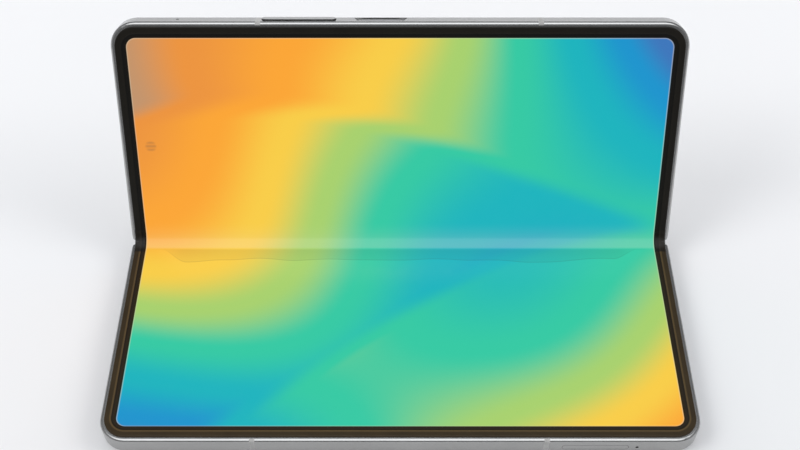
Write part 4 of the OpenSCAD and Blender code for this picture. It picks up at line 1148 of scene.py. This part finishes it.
# %% The ring round the camera in the cover glass
eye_reach = 2.0
eye_edge = (1.55, 1.65)
from_eye = calc(tree, "DIVIDE", distance_from(tree, x, y, cover_spot), cover_radius)
eye = bands(tree, calc(tree, "MULTIPLY", from_eye, 1 / eye_reach), [
    (0.0, (0.002, 0.002, 0.004)), (0.2, (0.010, 0.012, 0.04)), (0.3, (0.003, 0.003, 0.004)),
    (0.52, (0.004, 0.004, 0.005)), (0.58, (0.10, 0.10, 0.11)), (0.66, (0.10, 0.10, 0.11)),
    (0.72, (0.003, 0.003, 0.004)), (1.0, (0.003, 0.003, 0.004))], "LINEAR")
near = step(tree, from_eye, *eye_edge, 1.0, 0.0)
tree.links.new(blend_colours(tree, near, colour, eye), shader.inputs["Base Color"])
tree.links.new(spread(tree, noise(tree, place, 400), 0.09, 0.15), shader.inputs["Roughness"])
print("ring out to", eye_edge[1], "radii of the camera")

# %% [markdown]
# ## Sound outlets and the charging port
#
# Behind each loudspeaker hole lies a disc of fine mesh. The discs repeat at one spacing, so a
# tree places one disc on the points of a line, turned to stand across the rail. The tongue of
# the charging port carries a row of small gilded contacts on each side, which is the same tree
# with a bar in place of a disc, lying flat.

# %% A tree that repeats a disc or a bar along a line
row_tree, given = start_tree("row_of_parts", [
    ("Count", "Int"), ("Pitch", "Float"), ("Turn", "Vector"), ("Bar", "Bool"),
    ("Size", "Vector"), ("Radius", "Float"), ("Depth", "Float"), ("Material", "Material")])
line = put(row_tree, "GeometryNodeMeshLine", {
    "Count": given["Count"],
    "Offset": put(row_tree, "ShaderNodeCombineXYZ", {1: given["Pitch"]}).outputs[0]})
disc = put(row_tree, "GeometryNodeMeshCylinder", {"Vertices": 20, "Radius": given["Radius"],
                                                  "Depth": given["Depth"]})
bar = put(row_tree, "GeometryNodeMeshCube", {"Size": given["Size"]})
shape = put(row_tree, "GeometryNodeSwitch", {"Switch": given["Bar"], "False": disc.outputs[0],
                                             "True": bar.outputs[0]}, input_type="GEOMETRY")
placed = put(row_tree, "GeometryNodeInstanceOnPoints", {"Points": line.outputs[0],
                                                        "Instance": shape.outputs[0],
                                                        "Rotation": given["Turn"]})
end_tree(row_tree, placed.outputs[0], given["Material"])
print(len(row_tree.nodes), "nodes in the row")

# %% Mesh discs behind the loudspeaker holes
hole_count = 6
hole_pitch = 2.1 * mm
hole_radius = 0.55 * mm
disc_gap = 0.02 * mm
disc_thick = 0.08 * mm
rail_middle = -3.1 * mm
first_hole = Vector((half_length - 1.15 * mm, 41 * mm, rail_middle))
for name, body, place_of, sign in (("lid_right", "lid", on_lid, 1),
                                   ("lid_left", "lid", on_lid, -1),
                                   ("base_left", "base", on_base, -1)):
    discs = grow("sound_mesh_" + name, row_tree, {
        "Count": hole_count, "Pitch": hole_pitch, "Turn": (0, math.pi / 2, 0),
        "Radius": hole_radius - disc_gap, "Depth": disc_thick, "Material": sound_mesh})
    settle(discs, place_of @ Matrix.Translation((sign * first_hole.x, first_hole.y,
                                                 first_hole.z)))
    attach(discs, body)
print("mesh behind", 3 * hole_count, "holes")

# %% Contacts of the charging port
gilded = satin_metal("gilded", (0.92, 0.70, 0.34), 0.2, 6000)
contact_count = 12
contact_pitch = 0.5 * mm
contact_size = (3.4 * mm, 0.26 * mm, 0.06 * mm)
port_middle = Vector((half_length - 4.2 * mm, 31 * mm, rail_middle))
contact_height = 0.37 * mm
first_y = port_middle.y - contact_pitch * (contact_count - 1) / 2
for name, sign in (("front", 1), ("back", -1)):
    contacts = grow("port_contacts_" + name, row_tree, {
        "Count": contact_count, "Pitch": contact_pitch, "Bar": True,
        "Size": contact_size, "Material": gilded})
    settle(contacts, on_lid @ Matrix.Translation((port_middle.x, first_y,
                                                  port_middle.z + sign * contact_height)))
    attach(contacts, "lid")
print(2 * contact_count, "contacts")

# %% [markdown]
# ## Finish for every solid
#
# The table gives each solid its finish. A finish only replaces the solid's material, because
# the shapes are right as they are. Hidden pieces get one too: the phone can be taken apart.

# %% Give each solid its finish
finishes = {
    alloy: ["base_frame", "lid_frame", "hinge_spine", "card_tray"],
    island_metal: ["camera_island"],
    volume_metal: ["volume_key"],
    side_metal: ["side_key"],
    ring_metal: ["lens_rings"],
    steel: ["base_display_plate", "lid_display_plate", "haptic_motor", "tray_reader",
            "base_hinge_brackets", "lid_hinge_brackets", "base_gear_shafts", "lid_gear_shafts",
            "base_friction_springs", "lid_friction_springs", "base_hinge_screws",
            "lid_hinge_screws", "bearing_plates", "charging_port"],
    can_steel: ["shield_cans"],
    sound_mesh: ["earpiece_mesh"],
    brass: ["base_idler_gears", "lid_idler_gears"],
    warm_lit_base_rubber: ["base_bezel"],
    lid_rubber: ["lid_bezel"],
    cap_plastic: ["hinge_cap_left", "hinge_cap_right"],
    box_plastic: ["top_speaker", "bottom_speaker"],
    dark_metal: ["camera_modules"],
    ceramic: ["fingerprint_sensor"],
    cell_foil: ["base_battery", "lid_battery"],
    coil_copper: ["charging_coil"],
    main_green: ["main_board"],
    small_green: ["sub_board"],
    flex_amber: ["key_board"],
    off_screen: ["cover_display"],
    under_lens: ["inner_camera"],
    cover_lens: ["cover_camera"],
    lens_glass: ["lens_windows"],
    band_plastic: ["base_antenna_bands", "lid_antenna_bands"],
    back_glass: ["rear_glass"],
    cover_black: ["cover_glass"],
    flash_plastic: ["flash_window"],
    base_screen: ["base_display"],
    lid_screen: ["lid_display"],
}
dressed = set()
for finish, names in finishes.items():
    for name in names:
        solids[name].data.materials.clear()
        solids[name].data.materials.append(finish)
        dressed.add(name)
print("without a finish:", sorted(set(solids) - dressed - {"display_fold"}))

# %% [markdown]
# ## Output
#
# Standard view keeps a display's colours as they are written.

# %% Close the scene
bpy.context.scene.view_settings.view_transform = "Standard"
